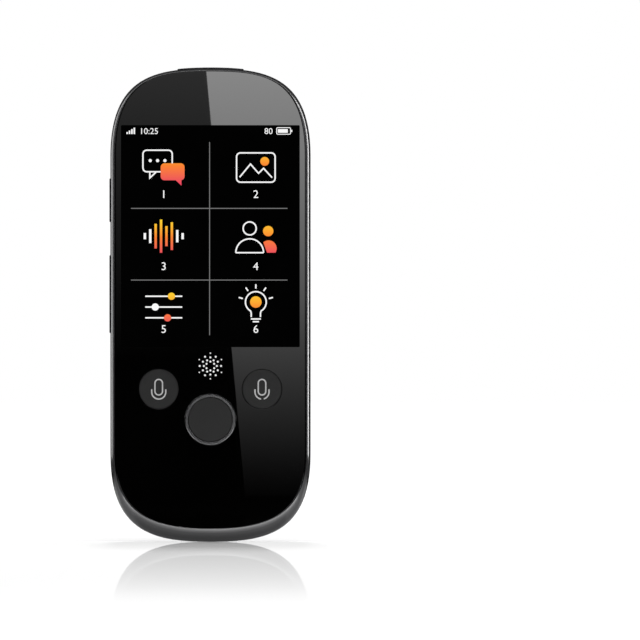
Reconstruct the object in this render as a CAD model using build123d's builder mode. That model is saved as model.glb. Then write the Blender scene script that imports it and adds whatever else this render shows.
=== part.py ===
from build123d import *
from math import cos, pi, sin, sqrt
import os

os.makedirs("parts", exist_ok=True)

# Handheld voice translator, upright: x across, +z along the length, -y out of the screen.
# The origin is the middle of the lower end of the body. All sizes are millimetres.

# ---- Housing ----
body_width = 52.0
body_length = 123.0
body_thickness = 13.0
end_depth = 22.7  # height of each rounded end, where the side runs straight
end_fullness = (0.54, 0.92)  # how far each end curve keeps to its crown and to its side
side_flat = 0.7  # straight part of the side between its widest line and the roll to the back
wall = 1.3
seam_margin = 1.3  # from the keys on the side to the parting line of the rear cover
seam_to_front = 1.9  # from the front face to the parting line of the bezel
fit_gap = 0.05  # between parts that plug into each other

# ---- Front bezel and glass ----
rim_inset = 0.8  # plan distance from the widest line to the crisp rim of the bezel
roll_rise = 2.55  # depth of the roll between that line and the rim
face_rise = 0.6  # from the rim up to the lip round the glass
glass_side = 1.3  # bezel shown beside the glass
glass_top = 1.2  # above it
chin_height = 3.45  # below it
glass_low_fullness = (0.56, 0.84)
glass_high_fullness = (0.575, 1.0)
glass_thickness = 0.9
glass_stand = 0.15  # how far the glass stands out of its lip
glass_edge = 0.25
lip_land = 0.1
adhesive = 0.1
ledge_width = 1.0
skirt_depth = 0.6

# ---- Display ----
display_from_side = 2.5
display_from_top = 14.0
display_height = 59.4
display_corner = 0.6
display_glass = 0.8
backlight_thickness = 1.6
module_gap = 0.1

# ---- Chassis plate and its screws ----
plate_thickness = 0.6
plate_gap = 0.15
boss_diameter = 3.4
boss_height = 2.0
boss_from_side = 3.0
low_boss_z = 17.0
boss_below_display = 3.6
crown_boss_from_side = 5.5
crown_boss_from_top = 10.4
screw_diameter = 1.4
screw_length = 2.2
screw_head = 2.4
screw_head_height = 0.5

# ---- Keys on the front ----
key_travel = 0.3
slide_gap = 0.05  # running clearance round and behind a key
home_below_display = 17.8
home_ring_diameter = 13.2
home_ring_width = 0.72
home_ring_stand = 0.12
home_ring_edge = 0.2
home_ring_flange = 0.8
home_ring_foot = 0.4
home_flange = 0.7
talk_x = 13.4
talk_below_display = 9.9
talk_diameter = 10.3
talk_flange = 0.85
flange_thickness = 0.3
key_nub_diameter = 4.0
key_edge = 0.2
switch_size = 4.2
switch_height = 0.75
switch_floor = 0.12
plunger_diameter = 1.6
plunger_gap = 0.1
plunger_depth = 0.25  # engaged in the switch at rest
key_board_from_side = 6.5
key_board_height = 26.3
key_board_gap = 0.3  # below the display
key_board_thickness = 0.6

# ---- Status light ----
status_below_display = 3.9
light_guide_diameter = 7.4
light_guide_thickness = 0.8
led_size = (1.6, 0.8, 0.6)
led_pitch = 2.6

# ---- Keys on the sides ----
side_line_rise = 1.25  # from the chassis plate to the line that keys and port sit on
side_key_width = 2.3
side_key_stand = 0.27
side_key_corner = 0.5
side_key_round = 0.2
side_flange_overhang = 1.2
side_flange_thickness = 0.6
top_key_length = 17.2
side_key_from_top = 34.25
side_key_length = 11.3
rocker_from_top = 58.65
rocker_length = 20.2
rocker_end_gap = 0.15
rocker_play = 0.4  # between the rocker's flange and the wall
rocker_spread = 6.5  # from its middle to each of its switches
rocker_depress = 0.2
side_switch_length = 3.0
side_switch_width = 2.0
side_switch_depth = 1.2
side_plunger_diameter = 1.0
side_plunger_engaged = 0.35
bracket_thickness = 0.5
bracket_from_side = 3.6
fulcrum_size = 1.0

# ---- Card tray ----
tray_from_top = 54.35
tray_rise = 0.75  # from the main board to the middle of the tray
door_length = 18.5
door_width = 1.9
door_recess = 0.05
door_gap = 0.06
door_back = 0.7
tray_width = 16.9
tray_thickness = 0.9
tray_rim = 0.85
tray_ledge = 0.5
tray_floor = 0.2
card_gap = 0.05
memory_card_size = (11.0, 15.0, 0.65)
sim_card_size = (8.8, 12.3, 0.65)
card_run_gap = 0.1
tray_end_play = 0.6
door_to_connector = 0.2
cage_gap = 0.4
cage_sheet = 0.2
contact_height = 0.07
memory_contact = (1.6, 0.7)
memory_contact_pitch = 1.4
sim_contact = (1.6, 1.2)
sim_contact_pitch = 2.54

# ---- Boards ----
board_gap = 0.1
board_thickness = 0.6
board_from_side = 4.6
board_inset = 3.2
board_from_top = 4.6
board_length = 59.9
shield_height = 1.4
shield_from_edge = 2.3  # from the left edge of the board
shield_corner = 0.5
processor_rise = 4.5  # from the lower edge of the board to the processor's shield
processor_shield_length = 15.0
processor_to_connector = 2.95
radio_rise = 2.5  # above the processor's shield
radio_shield_length = 11.0
radio_to_camera = 2.7
shield_to_chip = 3.0
chip_height = 0.9
chip_to_camera = 3.7
memory_chip = 8.0
memory_chip_drop = 1.66  # below the camera's axis
power_chip = (11.5, 9.0)
power_chip_from_edge = 3.15
chip_row_rise = 10.34  # above the camera's axis
small_part = (1.6, 0.8, 0.6)
small_part_pitch = (2.6, 2.2)
small_parts_from_edge = 7.4
sub_board_low = 2.9
sub_board_high = 12.6
sub_board_inset = 2.6
sub_board_thickness = 0.8
post_x = 11.5
post_z = 9.6
post_diameter = 2.8
flex_thickness = 0.15
flex_half_width = 7.0
flex_slot_gap = 0.3
flex_slot_height = 1.2
flex_tail = 3.5
strip_gap = 1.0
strip_width = 2.6

# ---- Port and microphones ----
port_shell_width = 8.94
port_shell_height = 3.16
port_shell_sheet = 0.3
port_shell_length = 7.35
port_recess = 0.45
port_tongue_width = 6.69
port_tongue_thickness = 0.7
microphone_x = 9.0
microphone_hole = 0.9
microphone_size = (3.0, 1.1, 2.2)
microphone_low = 3.4

# ---- Battery ----
battery_from_side = 9.0
battery_low = 13.0
battery_to_board = 4.0
battery_round = 1.2
battery_cap_height = 2.5
battery_foam_thickness = 1.6  # fills the gap to the rear cover
foam_from_side = 6.0
foam_from_end = 5.75
tail_from_side = 8.0
tail_width = 5.0
tail_overlap = 3.0  # over the lower edge of the board

# ---- Speaker ----
speaker_pole_rise = 2.44  # from the camera's axis to the centre of the rings of holes
speaker_first_ring = 6.85
speaker_ring_pitch = 1.22
speaker_hole_angle = 18.0
speaker_hole_sizes = (0.95, 1.0, 1.2, 1.15, 1.1, 0.95, 0.95, 0.85, 0.85)
speaker_box_rise = 2.9  # from that centre to the lower side of the box
speaker_box_height = 15.2
speaker_box_from_side = 9.4
speaker_box_corner = 4.0
speaker_box_depth = 2.8
speaker_wall = 0.8
gasket_thickness = 0.8
mesh_thickness = 0.1
driver_length = 26.0
driver_height = 12.0

# ---- Camera ----
camera_from_top = 33.34
trim_diameter = 9.47
trim_recess = 0.1  # below the back face
trim_seat = 0.4
window_diameter = 7.0
window_thickness = 0.4
window_recess = 0.15
camera_base = 8.6
lens_clearance = 0.85  # from the barrel to the window
barrel_diameter = 6.6
barrel_height = 2.6
lens_diameter = 4.8
lens_height = 0.6

# ---- Catches of the rear cover ----
tongue_length = 1.0
tongue_step = 0.3  # from the cover's inner edge to the tongue
catch_width = 4.0
catch_reach = 1.8
catch_bump = 0.25
low_catch_shares = (11 / 29, 21 / 29)  # of the way between the bosses
high_catch_from_top = 23.8
door_catch_from_top = 35.0  # above the card door
rib_thickness = 0.8
rib_height = 1.2

# ---- Levels through the thickness, front to back ----
front_y = -body_thickness / 2
back_y = body_thickness / 2
lip_y = front_y + glass_stand
rim_y = lip_y + face_rise
widest_y = rim_y + roll_rise
back_roll = back_y - widest_y - side_flat
bezel_seam = front_y + seam_to_front
skirt_end = bezel_seam + skirt_depth
glass_back = front_y + glass_thickness
ledge_front = glass_back + adhesive
display_back = ledge_front + display_glass
plate_front = display_back + backlight_thickness
plate_back = plate_front + plate_thickness
key_board_front = plate_front - key_board_thickness
switch_front = key_board_front - switch_height
board_front = plate_back + board_gap
board_back = board_front + board_thickness
cover_inside = back_y - wall
side_line = plate_back + side_line_rise
rear_seam = side_line + side_key_width / 2 + seam_margin
tray_line = board_back + tray_rise
tray_front = tray_line - tray_thickness / 2
tray_back = tray_line + tray_thickness / 2
port_back = side_line + port_shell_height / 2
sub_board_back = port_back + sub_board_thickness
half_width = body_width / 2
inner_half = half_width - wall

# ---- Places across and along the body ----
display_half_width = half_width - display_from_side
display_high = body_length - display_from_top
display_low = display_high - display_height
display_middle = (display_low + display_high) / 2
home_z = display_low - home_below_display
talk_z = display_low - talk_below_display
status_z = display_low - status_below_display
key_board_half_width = half_width - key_board_from_side
key_board_high = display_low - key_board_gap
key_board_low = key_board_high - key_board_height
side_key_z = body_length - side_key_from_top
rocker_z = body_length - rocker_from_top
tray_z = body_length - tray_from_top
camera_z = body_length - camera_from_top
board_half_width = half_width - board_from_side
board_high = body_length - board_from_top
board_low = board_high - board_length
battery_half_width = half_width - battery_from_side
battery_high = board_low - battery_to_board
speaker_pole_z = camera_z + speaker_pole_rise
speaker_box_low = speaker_pole_z + speaker_box_rise
speaker_box_half_width = half_width - speaker_box_from_side
talk_seats = ((-talk_x, talk_z), (talk_x, talk_z))
boss_side_x = half_width - boss_from_side
crown_boss_x = half_width - crown_boss_from_side
crown_boss_z = body_length - crown_boss_from_top
boss_levels = (low_boss_z, display_low - boss_below_display)
boss_seats = [(side * boss_side_x, z) for z in boss_levels for side in (-1, 1)]
boss_seats += [(side * crown_boss_x, crown_boss_z) for side in (-1, 1)]
boss_climb = boss_levels[1] - boss_levels[0]
low_catches = tuple(low_boss_z + share * boss_climb for share in low_catch_shares)
high_catch = body_length - high_catch_from_top
left_catches = low_catches + (high_catch,)
right_catches = low_catches + (body_length - door_catch_from_top, high_catch)


def level(y):
    """Workplane that faces the user at depth y, with x across and z up."""
    return Plane.XZ.offset(-y)


def end_curves(half, crown_z, side_z, fullness):
    """One rounded end: a quarter curve and its mirror image, tangent at the crown."""
    across, along = fullness
    with BuildLine() as curves:
        Bezier(
            (half, side_z),
            (half, side_z + along * (crown_z - side_z)),
            (across * half, crown_z),
            (0, crown_z),
        )
        mirror(about=Plane.YZ)
    return curves.line


def long_face(side, low, high, low_fullness, high_fullness):
    """Face of the body's plan outline, brought in by side, low and high."""
    half = half_width - side
    head = body_length - end_depth
    with BuildSketch() as face:
        with BuildLine():
            Line((half, end_depth), (half, head))
            Line((-half, end_depth), (-half, head))
            add(end_curves(half, body_length - high, head, high_fullness))
            add(end_curves(half, low, end_depth, low_fullness))
        make_face()
    return face.sketch


def body_face(inset):
    return long_face(inset, inset, inset, end_fullness, end_fullness)


def glass_face(inset):
    low = chin_height + inset
    high = glass_top + inset
    return long_face(glass_side + inset, low, high, glass_low_fullness, glass_high_fullness)


def mix(start, end, share):
    return start + (end - start) * share


def bezel_face(share):
    """Outline between the crisp rim (0) and the lip round the glass (1)."""
    low = [mix(a, b, share) for a, b in zip(end_fullness, glass_low_fullness)]
    high = [mix(a, b, share) for a, b in zip(end_fullness, glass_high_fullness)]
    return long_face(
        mix(rim_inset, glass_side - lip_land, share),
        mix(rim_inset, chin_height - lip_land, share),
        mix(rim_inset, glass_top - lip_land, share),
        low,
        high,
    )


def back_inset(y, skin):
    """Plan inset at depth y of the rear form, taken in by skin."""
    radius = back_roll - skin
    rise = y - (back_y - back_roll)
    return skin + radius - sqrt(radius**2 - rise**2)


# ---- Master forms that the housing parts are split from ----
roll_radius = (rim_inset**2 + roll_rise**2) / (2 * rim_inset)

with BuildPart() as front_form:
    for step in range(4):
        rise = roll_rise * step / 3
        with BuildSketch(level(widest_y - rise)):
            add(body_face(roll_radius - sqrt(roll_radius**2 - rise**2)))
    loft()
    for step in range(4):
        angle = pi / 2 * step / 3
        with BuildSketch(level(rim_y - face_rise * sin(angle))):
            add(bezel_face(1 - cos(angle)))
    loft()

with BuildPart() as rear_form:
    with BuildSketch(level(back_y)):
        add(body_face(0))
    extrude(amount=back_y - widest_y)
    fillet(rear_form.faces().sort_by(Axis.Y)[-1].edges(), radius=back_roll)

with BuildPart() as rear_cavity:
    with BuildSketch(level(cover_inside)):
        add(body_face(wall))
    extrude(amount=cover_inside - bezel_seam)
    fillet(rear_cavity.faces().sort_by(Axis.Y)[-1].edges(), radius=back_roll - wall)

with BuildPart() as rear_band:
    add(rear_form.part)
    split(bisect_by=level(rear_seam), keep=Keep.TOP)

# ---- Front bezel: one rolled ring with a deeper chin, a ledge for the glass and a skirt ----
with BuildPart() as front_bezel:
    add(front_form.part)
    split(bisect_by=level(bezel_seam), keep=Keep.TOP)
    with BuildSketch(level(skirt_end)):
        add(body_face(wall + fit_gap))
    extrude(amount=skirt_depth)
    with BuildSketch(level(ledge_front)):
        add(glass_face(0))
    extrude(amount=glass_thickness + adhesive, mode=Mode.SUBTRACT)
    with BuildSketch(level(skirt_end)):
        add(glass_face(ledge_width))
        with Locations((0, display_middle)):
            Rectangle(
                2 * (display_half_width + module_gap),
                display_high - display_low + 2 * module_gap,
            )
    extrude(amount=skirt_end - ledge_front, mode=Mode.SUBTRACT)
front_bezel.part.label = "front_bezel"
export_step(front_bezel.part, "parts/front_bezel.step")

# ---- Mid frame: the coloured band, with its openings and the bosses inside it ----
with BuildPart() as mid_frame:
    add(front_form.part)
    split(bisect_by=level(bezel_seam), keep=Keep.BOTTOM)
    add(rear_band.part)
    with BuildSketch(level(rear_seam)):
        add(body_face(wall))
    extrude(amount=rear_seam - bezel_seam, mode=Mode.SUBTRACT)
    # screw bosses, each run out into the wall
    with BuildSketch(level(plate_back + boss_height)):
        with Locations(*boss_seats):
            Circle(boss_diameter / 2)
        for x, z in boss_seats:
            outward = 1 if x > 0 else -1
            with Locations((x + outward * boss_from_side / 2, z)):
                Rectangle(boss_from_side, boss_diameter)
        add(body_face(wall / 2), mode=Mode.INTERSECT)
    extrude(amount=boss_height)
    with BuildSketch(level(plate_back + boss_height)):
        with Locations(*boss_seats):
            Circle(screw_diameter / 2 + fit_gap)
    extrude(amount=boss_height, mode=Mode.SUBTRACT)
    # openings for the keys on the left and the card door on the right
    with BuildSketch(Plane.YZ.offset(-half_width - 1)):
        with Locations((side_line, side_key_z)):
            RectangleRounded(
                side_key_width + 2 * slide_gap,
                side_key_length + 2 * slide_gap,
                side_key_corner + slide_gap,
            )
        with Locations((side_line, rocker_z)):
            RectangleRounded(
                side_key_width + 2 * slide_gap,
                rocker_length + 2 * rocker_end_gap,
                side_key_corner + slide_gap,
            )
    extrude(amount=wall + 1.5, mode=Mode.SUBTRACT)
    with BuildSketch(Plane.YZ.offset(half_width + 1)):
        with Locations((tray_line, tray_z)):
            RectangleRounded(
                door_width + 2 * door_gap,
                door_length + 2 * door_gap,
                side_key_corner + door_gap,
            )
    extrude(amount=-(wall + 1.5), mode=Mode.SUBTRACT)
    # top key, port and microphone holes
    with BuildSketch(Plane.XY.offset(body_length + 1)):
        with Locations((0, side_line)):
            RectangleRounded(
                top_key_length + 2 * slide_gap,
                side_key_width + 2 * slide_gap,
                side_key_corner + slide_gap,
            )
    extrude(amount=-(wall + 2.5), mode=Mode.SUBTRACT)
    with BuildSketch(Plane.XY.offset(-1)):
        with Locations((0, side_line)):
            SlotOverall(port_shell_width + 2 * fit_gap, port_shell_height + 2 * fit_gap)
        with Locations((-microphone_x, side_line), (microphone_x, side_line)):
            Circle(microphone_hole / 2)
    extrude(amount=wall + 2.5, mode=Mode.SUBTRACT)
    # pockets that the catches of the rear cover snap into
    for outward, heights in ((-1, left_catches), (1, right_catches)):
        for z in heights:
            with BuildSketch(Plane.XZ.offset(-(rear_seam - tongue_length))):
                with Locations((outward * inner_half, z)):
                    Rectangle(2 * (catch_bump + fit_gap), catch_width + 0.8)
            extrude(amount=catch_reach, mode=Mode.SUBTRACT)
mid_frame.part.label = "mid_frame"
export_step(mid_frame.part, "parts/mid_frame.step")

# ---- Rear cover: moulded shell with the sound holes, camera bore, tongue and catches ----
tongue_outer = wall + fit_gap
tongue_inner = back_inset(rear_seam, wall) - tongue_step

with BuildPart() as rear_cover:
    add(rear_form.part)
    split(bisect_by=level(rear_seam), keep=Keep.BOTTOM)
    add(rear_cavity.part, mode=Mode.SUBTRACT)
    # tongue inside the mid frame, open round the port
    with BuildSketch(level(rear_seam)):
        add(body_face(tongue_outer))
        add(body_face(tongue_inner), mode=Mode.SUBTRACT)
        with Locations((0, 0)):
            Rectangle(port_shell_width + 1.5, 4 * tongue_inner, mode=Mode.SUBTRACT)
    extrude(amount=tongue_length)
    # snap fingers on the straight sides, each with a barb at its end
    for outward, heights in ((-1, left_catches), (1, right_catches)):
        for z in heights:
            face_x = outward * (half_width - tongue_outer)
            back_x = outward * (half_width - tongue_inner)
            barb_x = face_x + outward * catch_bump
            tip_y = rear_seam - tongue_length - catch_reach + 0.15
            with BuildSketch(Plane.XY.offset(z - catch_width / 2)):
                with BuildLine():
                    Polyline(
                        (back_x, rear_seam - tongue_length / 2),
                        (face_x, rear_seam - tongue_length / 2),
                        (face_x, tip_y + 1.1),
                        (barb_x, tip_y + 0.7),
                        (barb_x, tip_y + 0.5),
                        (face_x, tip_y),
                        (back_x, tip_y),
                        close=True,
                    )
                make_face()
            extrude(amount=catch_width)
    # two ribs beside the battery
    with BuildSketch(level(cover_inside + wall / 3)):
        with Locations((0, (battery_low + battery_high) / 2)):
            with GridLocations(2 * (battery_half_width + rib_thickness), 1, 2, 1):
                Rectangle(rib_thickness, battery_high - battery_low - 4)
    extrude(amount=rib_height + wall / 3)
    # stepped bore for the camera trim
    with BuildSketch(level(back_y + 1)):
        with Locations((0, camera_z)):
            Circle(trim_diameter / 2 + fit_gap)
    extrude(amount=wall - trim_seat + 1, mode=Mode.SUBTRACT)
    with BuildSketch(level(back_y + 1)):
        with Locations((0, camera_z)):
            Circle(window_diameter / 2)
    extrude(amount=wall + 2, mode=Mode.SUBTRACT)
    # fan of sound holes on rings round one pole, even rings on the centre line, odd between
    with BuildSketch(level(back_y + 1)):
        for ring, size in enumerate(speaker_hole_sizes):
            count = 7 + ring % 2
            sweep = speaker_hole_angle * (count - 1)
            radius = speaker_first_ring + ring * speaker_ring_pitch
            with Locations((0, speaker_pole_z)):
                with PolarLocations(radius, count, 90 - sweep / 2, sweep, endpoint=True):
                    Circle(size / 2)
    extrude(amount=wall + 2, mode=Mode.SUBTRACT)
rear_cover.part.label = "rear_cover"
export_step(rear_cover.part, "parts/rear_cover.step")

# ---- Cover glass with a softened edge and round openings for the keys ----
with BuildPart() as cover_glass:
    with BuildSketch(level(glass_back)):
        add(glass_face(fit_gap))
    extrude(amount=glass_thickness)
    chamfer(cover_glass.faces().sort_by(Axis.Y)[0].edges(), length=glass_edge)
    with BuildSketch(level(glass_back)):
        with Locations((0, home_z)):
            Circle(home_ring_diameter / 2 + fit_gap)
        with Locations(*talk_seats):
            Circle(talk_diameter / 2 + slide_gap)
    extrude(amount=glass_thickness, mode=Mode.SUBTRACT)
cover_glass.part.label = "cover_glass"
export_step(cover_glass.part, "parts/cover_glass.step")

with BuildPart() as glass_adhesive:
    with BuildSketch(level(ledge_front)):
        add(glass_face(2 * fit_gap))
        add(glass_face(ledge_width), mode=Mode.SUBTRACT)
    extrude(amount=adhesive)
glass_adhesive.part.label = "glass_adhesive"
export_step(glass_adhesive.part, "parts/glass_adhesive.step")

# ---- Display panel and the backlight unit behind it ----
with BuildPart() as display_panel:
    with BuildSketch(level(display_back)):
        with Locations((0, display_middle)):
            RectangleRounded(2 * display_half_width, display_high - display_low, display_corner)
    extrude(amount=display_glass)
display_panel.part.label = "display_panel"
export_step(display_panel.part, "parts/display_panel.step")

with BuildPart() as backlight_unit:
    with BuildSketch(level(plate_front)):
        with Locations((0, display_middle)):
            RectangleRounded(
                2 * (display_half_width - module_gap),
                display_high - display_low - 2 * module_gap,
                display_corner,
            )
    extrude(amount=backlight_thickness)
backlight_unit.part.label = "backlight_unit"
export_step(backlight_unit.part, "parts/backlight_unit.step")

# ---- Chassis plate: sheet metal that carries the display, the boards and the keys ----
flex_slot_low = display_high + flex_slot_gap
flex_slot_high = flex_slot_low + flex_slot_height

with BuildPart() as chassis_plate:
    with BuildSketch(level(plate_back)):
        add(body_face(wall + plate_gap))
        with Locations((0, 0)):
            Rectangle(port_shell_width + 1.5, 2 * (port_recess + port_shell_length + 0.6), mode=Mode.SUBTRACT)
        with Locations((0, (flex_slot_low + flex_slot_high) / 2)):
            SlotOverall(2 * flex_half_width + 2, flex_slot_high - flex_slot_low, mode=Mode.SUBTRACT)
        with Locations(*boss_seats):
            Circle(screw_diameter / 2 + 2 * fit_gap, mode=Mode.SUBTRACT)
    extrude(amount=plate_thickness)
chassis_plate.part.label = "chassis_plate"
export_step(chassis_plate.part, "parts/chassis_plate.step")

with BuildPart() as chassis_screws:
    with BuildSketch(level(plate_front)):
        with Locations(*boss_seats):
            Circle(screw_head / 2)
    extrude(amount=screw_head_height)
    with BuildSketch(level(plate_front)):
        with Locations(*boss_seats):
            Circle(screw_diameter / 2)
    extrude(amount=-screw_length)
chassis_screws.part.label = "chassis_screws"
export_step(chassis_screws.part, "parts/chassis_screws.step")

# ---- Home key in its metal ring ----
home_radius = home_ring_diameter / 2 - home_ring_width - slide_gap
ring_foot_back = glass_back + home_ring_foot
home_flange_front = ring_foot_back + slide_gap
nub_back = switch_front - key_travel - slide_gap

with BuildPart() as home_key_ring:
    with BuildSketch(level(ring_foot_back)):
        with Locations((0, home_z)):
            Circle(home_ring_diameter / 2 + home_ring_flange)
    extrude(amount=home_ring_foot)
    with BuildSketch(level(glass_back)):
        with Locations((0, home_z)):
            Circle(home_ring_diameter / 2)
    extrude(amount=glass_thickness + home_ring_stand)
    rim_edges = home_key_ring.faces().sort_by(Axis.Y)[0].edges()
    chamfer(rim_edges, length=home_ring_edge)
    with BuildSketch(level(ring_foot_back)):
        with Locations((0, home_z)):
            Circle(home_ring_diameter / 2 - home_ring_width)
    extrude(amount=body_thickness, mode=Mode.SUBTRACT)
home_key_ring.part.label = "home_key_ring"
export_step(home_key_ring.part, "parts/home_key_ring.step")

with BuildPart() as home_key:
    with BuildSketch(level(home_flange_front)):
        with Locations((0, home_z)):
            Circle(home_radius)
    extrude(amount=home_flange_front - front_y)
    chamfer(home_key.faces().sort_by(Axis.Y)[0].edges(), length=key_edge)
    with BuildSketch(level(home_flange_front)):
        with Locations((0, home_z)):
            Circle(home_radius + home_flange)
    extrude(amount=-flange_thickness)
    with BuildSketch(level(nub_back)):
        with Locations((0, home_z)):
            Circle(key_nub_diameter / 2)
    extrude(amount=nub_back - home_flange_front)
home_key.part.label = "home_key"
export_step(home_key.part, "parts/home_key.step")


def talk_key_part(x):
    """Round key through the glass, with its flange behind it and a nub for the switch."""
    flange_front = glass_back + slide_gap
    with BuildPart() as key:
        with BuildSketch(level(flange_front)):
            with Locations((x, talk_z)):
                Circle(talk_diameter / 2)
        extrude(amount=flange_front - front_y)
        chamfer(key.faces().sort_by(Axis.Y)[0].edges(), length=key_edge)
        with BuildSketch(level(flange_front)):
            with Locations((x, talk_z)):
                Circle(talk_diameter / 2 + talk_flange)
        extrude(amount=-flange_thickness)
        with BuildSketch(level(nub_back)):
            with Locations((x, talk_z)):
                Circle(key_nub_diameter / 2)
        extrude(amount=nub_back - flange_front)
    return key.part


def front_plunger_part(x, z):
    """Moving stem of a front switch, from the key's nub into the switch."""
    with BuildPart() as plunger:
        with BuildSketch(level(nub_back)):
            with Locations((x, z)):
                Circle(plunger_diameter / 2)
        extrude(amount=-(switch_front + plunger_depth - nub_back))
    return plunger.part


left_talk_key = talk_key_part(-talk_x)
left_talk_key.label = "left_talk_key"
export_step(left_talk_key, "parts/left_talk_key.step")

right_talk_key = talk_key_part(talk_x)
right_talk_key.label = "right_talk_key"
export_step(right_talk_key, "parts/right_talk_key.step")

home_plunger = front_plunger_part(0, home_z)
home_plunger.label = "home_plunger"
export_step(home_plunger, "parts/home_plunger.step")

left_talk_plunger = front_plunger_part(-talk_x, talk_z)
left_talk_plunger.label = "left_talk_plunger"
export_step(left_talk_plunger, "parts/left_talk_plunger.step")

right_talk_plunger = front_plunger_part(talk_x, talk_z)
right_talk_plunger.label = "right_talk_plunger"
export_step(right_talk_plunger, "parts/right_talk_plunger.step")

# ---- Key board with the three switches, and the status light ----
key_seats = ((0, home_z),) + talk_seats

with BuildPart() as key_board:
    with BuildSketch(level(plate_front)):
        with Locations((0, (key_board_low + key_board_high) / 2)):
            RectangleRounded(2 * key_board_half_width, key_board_high - key_board_low, 2.0)
    extrude(amount=key_board_thickness)
key_board.part.label = "key_board"
export_step(key_board.part, "parts/key_board.step")

with BuildPart() as front_key_switches:
    with BuildSketch(level(key_board_front)):
        with Locations(*key_seats):
            Rectangle(switch_size, switch_size)
    extrude(amount=switch_height)
    with BuildSketch(level(key_board_front - switch_floor)):
        with Locations(*key_seats):
            Circle(plunger_diameter / 2 + plunger_gap)
    extrude(amount=switch_height, mode=Mode.SUBTRACT)
front_key_switches.part.label = "front_key_switches"
export_step(front_key_switches.part, "parts/front_key_switches.step")

with BuildPart() as status_light_guide:
    with BuildSketch(level(glass_back + light_guide_thickness)):
        with Locations((0, status_z)):
            Circle(light_guide_diameter / 2)
    extrude(amount=light_guide_thickness)
status_light_guide.part.label = "status_light_guide"
export_step(status_light_guide.part, "parts/status_light_guide.step")

with BuildPart() as status_lamps:
    with BuildSketch(level(key_board_front)):
        with Locations((0, status_z)):
            with GridLocations(led_pitch, 1, 3, 1):
                Rectangle(led_size[0], led_size[1])
    extrude(amount=led_size[2])
status_lamps.part.label = "status_lamps"
export_step(status_lamps.part, "parts/status_lamps.step")

# ---- Top key ----
key_front_y = side_line - side_key_width / 2
key_back_y = side_line + side_key_width / 2
flange_outer = wall + slide_gap
flange_inner = flange_outer + side_flange_thickness

with BuildPart() as top_key:
    with BuildSketch(level(key_back_y)):
        add(body_face(-side_key_stand))
        with Locations((0, body_length)):
            Rectangle(top_key_length, body_length / 4, mode=Mode.INTERSECT)
        add(body_face(flange_outer), mode=Mode.SUBTRACT)
    extrude(amount=side_key_width)
    fillet(top_key.edges().filter_by(Axis.Z), radius=side_key_corner)
    fillet(top_key.faces().sort_by(Axis.Z)[-1].edges(), radius=side_key_round)
    with BuildSketch(level(key_back_y)):
        add(body_face(flange_outer))
        with Locations((0, body_length)):
            Rectangle(
                top_key_length + 2 * side_flange_overhang,
                body_length / 4,
                mode=Mode.INTERSECT,
            )
        add(body_face(flange_inner), mode=Mode.SUBTRACT)
    extrude(amount=side_key_width)
top_key.part.label = "top_key"
export_step(top_key.part, "parts/top_key.step")

top_flange_z = body_length - flange_inner
top_switch_z = top_flange_z - key_travel - 3 * slide_gap

with BuildPart() as top_key_plunger:
    with BuildSketch(Plane.XY.offset(top_switch_z - side_plunger_engaged)):
        with Locations((0, side_line)):
            Circle(side_plunger_diameter / 2)
    extrude(amount=top_flange_z - top_switch_z + side_plunger_engaged)
top_key_plunger.part.label = "top_key_plunger"
export_step(top_key_plunger.part, "parts/top_key_plunger.step")

with BuildPart() as top_key_switch:
    with BuildSketch(Plane.XY.offset(top_switch_z)):
        with Locations((0, side_line)):
            Rectangle(side_switch_length, side_switch_width)
    extrude(amount=-side_switch_depth)
    with BuildSketch(Plane.XY.offset(top_switch_z)):
        with Locations((0, side_line)):
            Circle(side_plunger_diameter / 2 + plunger_gap)
    extrude(amount=-(side_switch_depth - switch_floor), mode=Mode.SUBTRACT)
top_key_switch.part.label = "top_key_switch"
export_step(top_key_switch.part, "parts/top_key_switch.step")


def side_key_part(z, length, flange_play):
    """Key through the left wall, with a flange behind the wall at each end."""
    flange_x = -(inner_half - flange_play)
    with BuildPart() as key:
        with BuildSketch(Plane.YZ.offset(-(half_width + side_key_stand))):
            with Locations((side_line, z)):
                RectangleRounded(side_key_width, length, side_key_corner)
        extrude(amount=half_width + side_key_stand + flange_x)
        fillet(key.faces().sort_by(Axis.X)[0].edges(), radius=side_key_round)
        with BuildSketch(Plane.YZ.offset(flange_x)):
            with Locations((side_line, z)):
                Rectangle(side_key_width, length + 2 * side_flange_overhang)
        extrude(amount=side_flange_thickness)
    return key.part


side_key = side_key_part(side_key_z, side_key_length, slide_gap)
side_key.label = "side_key"
export_step(side_key, "parts/side_key.step")

volume_rocker = side_key_part(rocker_z, rocker_length, rocker_play)
volume_rocker.label = "volume_rocker"
export_step(volume_rocker, "parts/volume_rocker.step")

# ---- Switches of the side keys on one upright bracket ----
bracket_x = -(half_width - bracket_from_side)
side_flange_x = -(inner_half - slide_gap - side_flange_thickness)
rocker_flange_x = -(inner_half - rocker_play - side_flange_thickness)
side_switch_x = side_flange_x + key_travel + 3 * slide_gap
rocker_switch_x = rocker_flange_x + rocker_depress + 2 * slide_gap
rocker_switch_seats = (
    (side_line, rocker_z - rocker_spread),
    (side_line, rocker_z + rocker_spread),
)

with BuildPart() as side_key_plunger:
    with BuildSketch(Plane.YZ.offset(side_flange_x)):
        with Locations((side_line, side_key_z)):
            Circle(side_plunger_diameter / 2)
    extrude(amount=side_switch_x - side_flange_x + side_plunger_engaged)
side_key_plunger.part.label = "side_key_plunger"
export_step(side_key_plunger.part, "parts/side_key_plunger.step")

with BuildPart() as volume_plungers:
    with BuildSketch(Plane.YZ.offset(rocker_flange_x)):
        with Locations(*rocker_switch_seats):
            Circle(side_plunger_diameter / 2)
    extrude(amount=rocker_switch_x - rocker_flange_x + side_plunger_engaged)
volume_plungers.part.label = "volume_plungers"
export_step(volume_plungers.part, "parts/volume_plungers.step")

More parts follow.
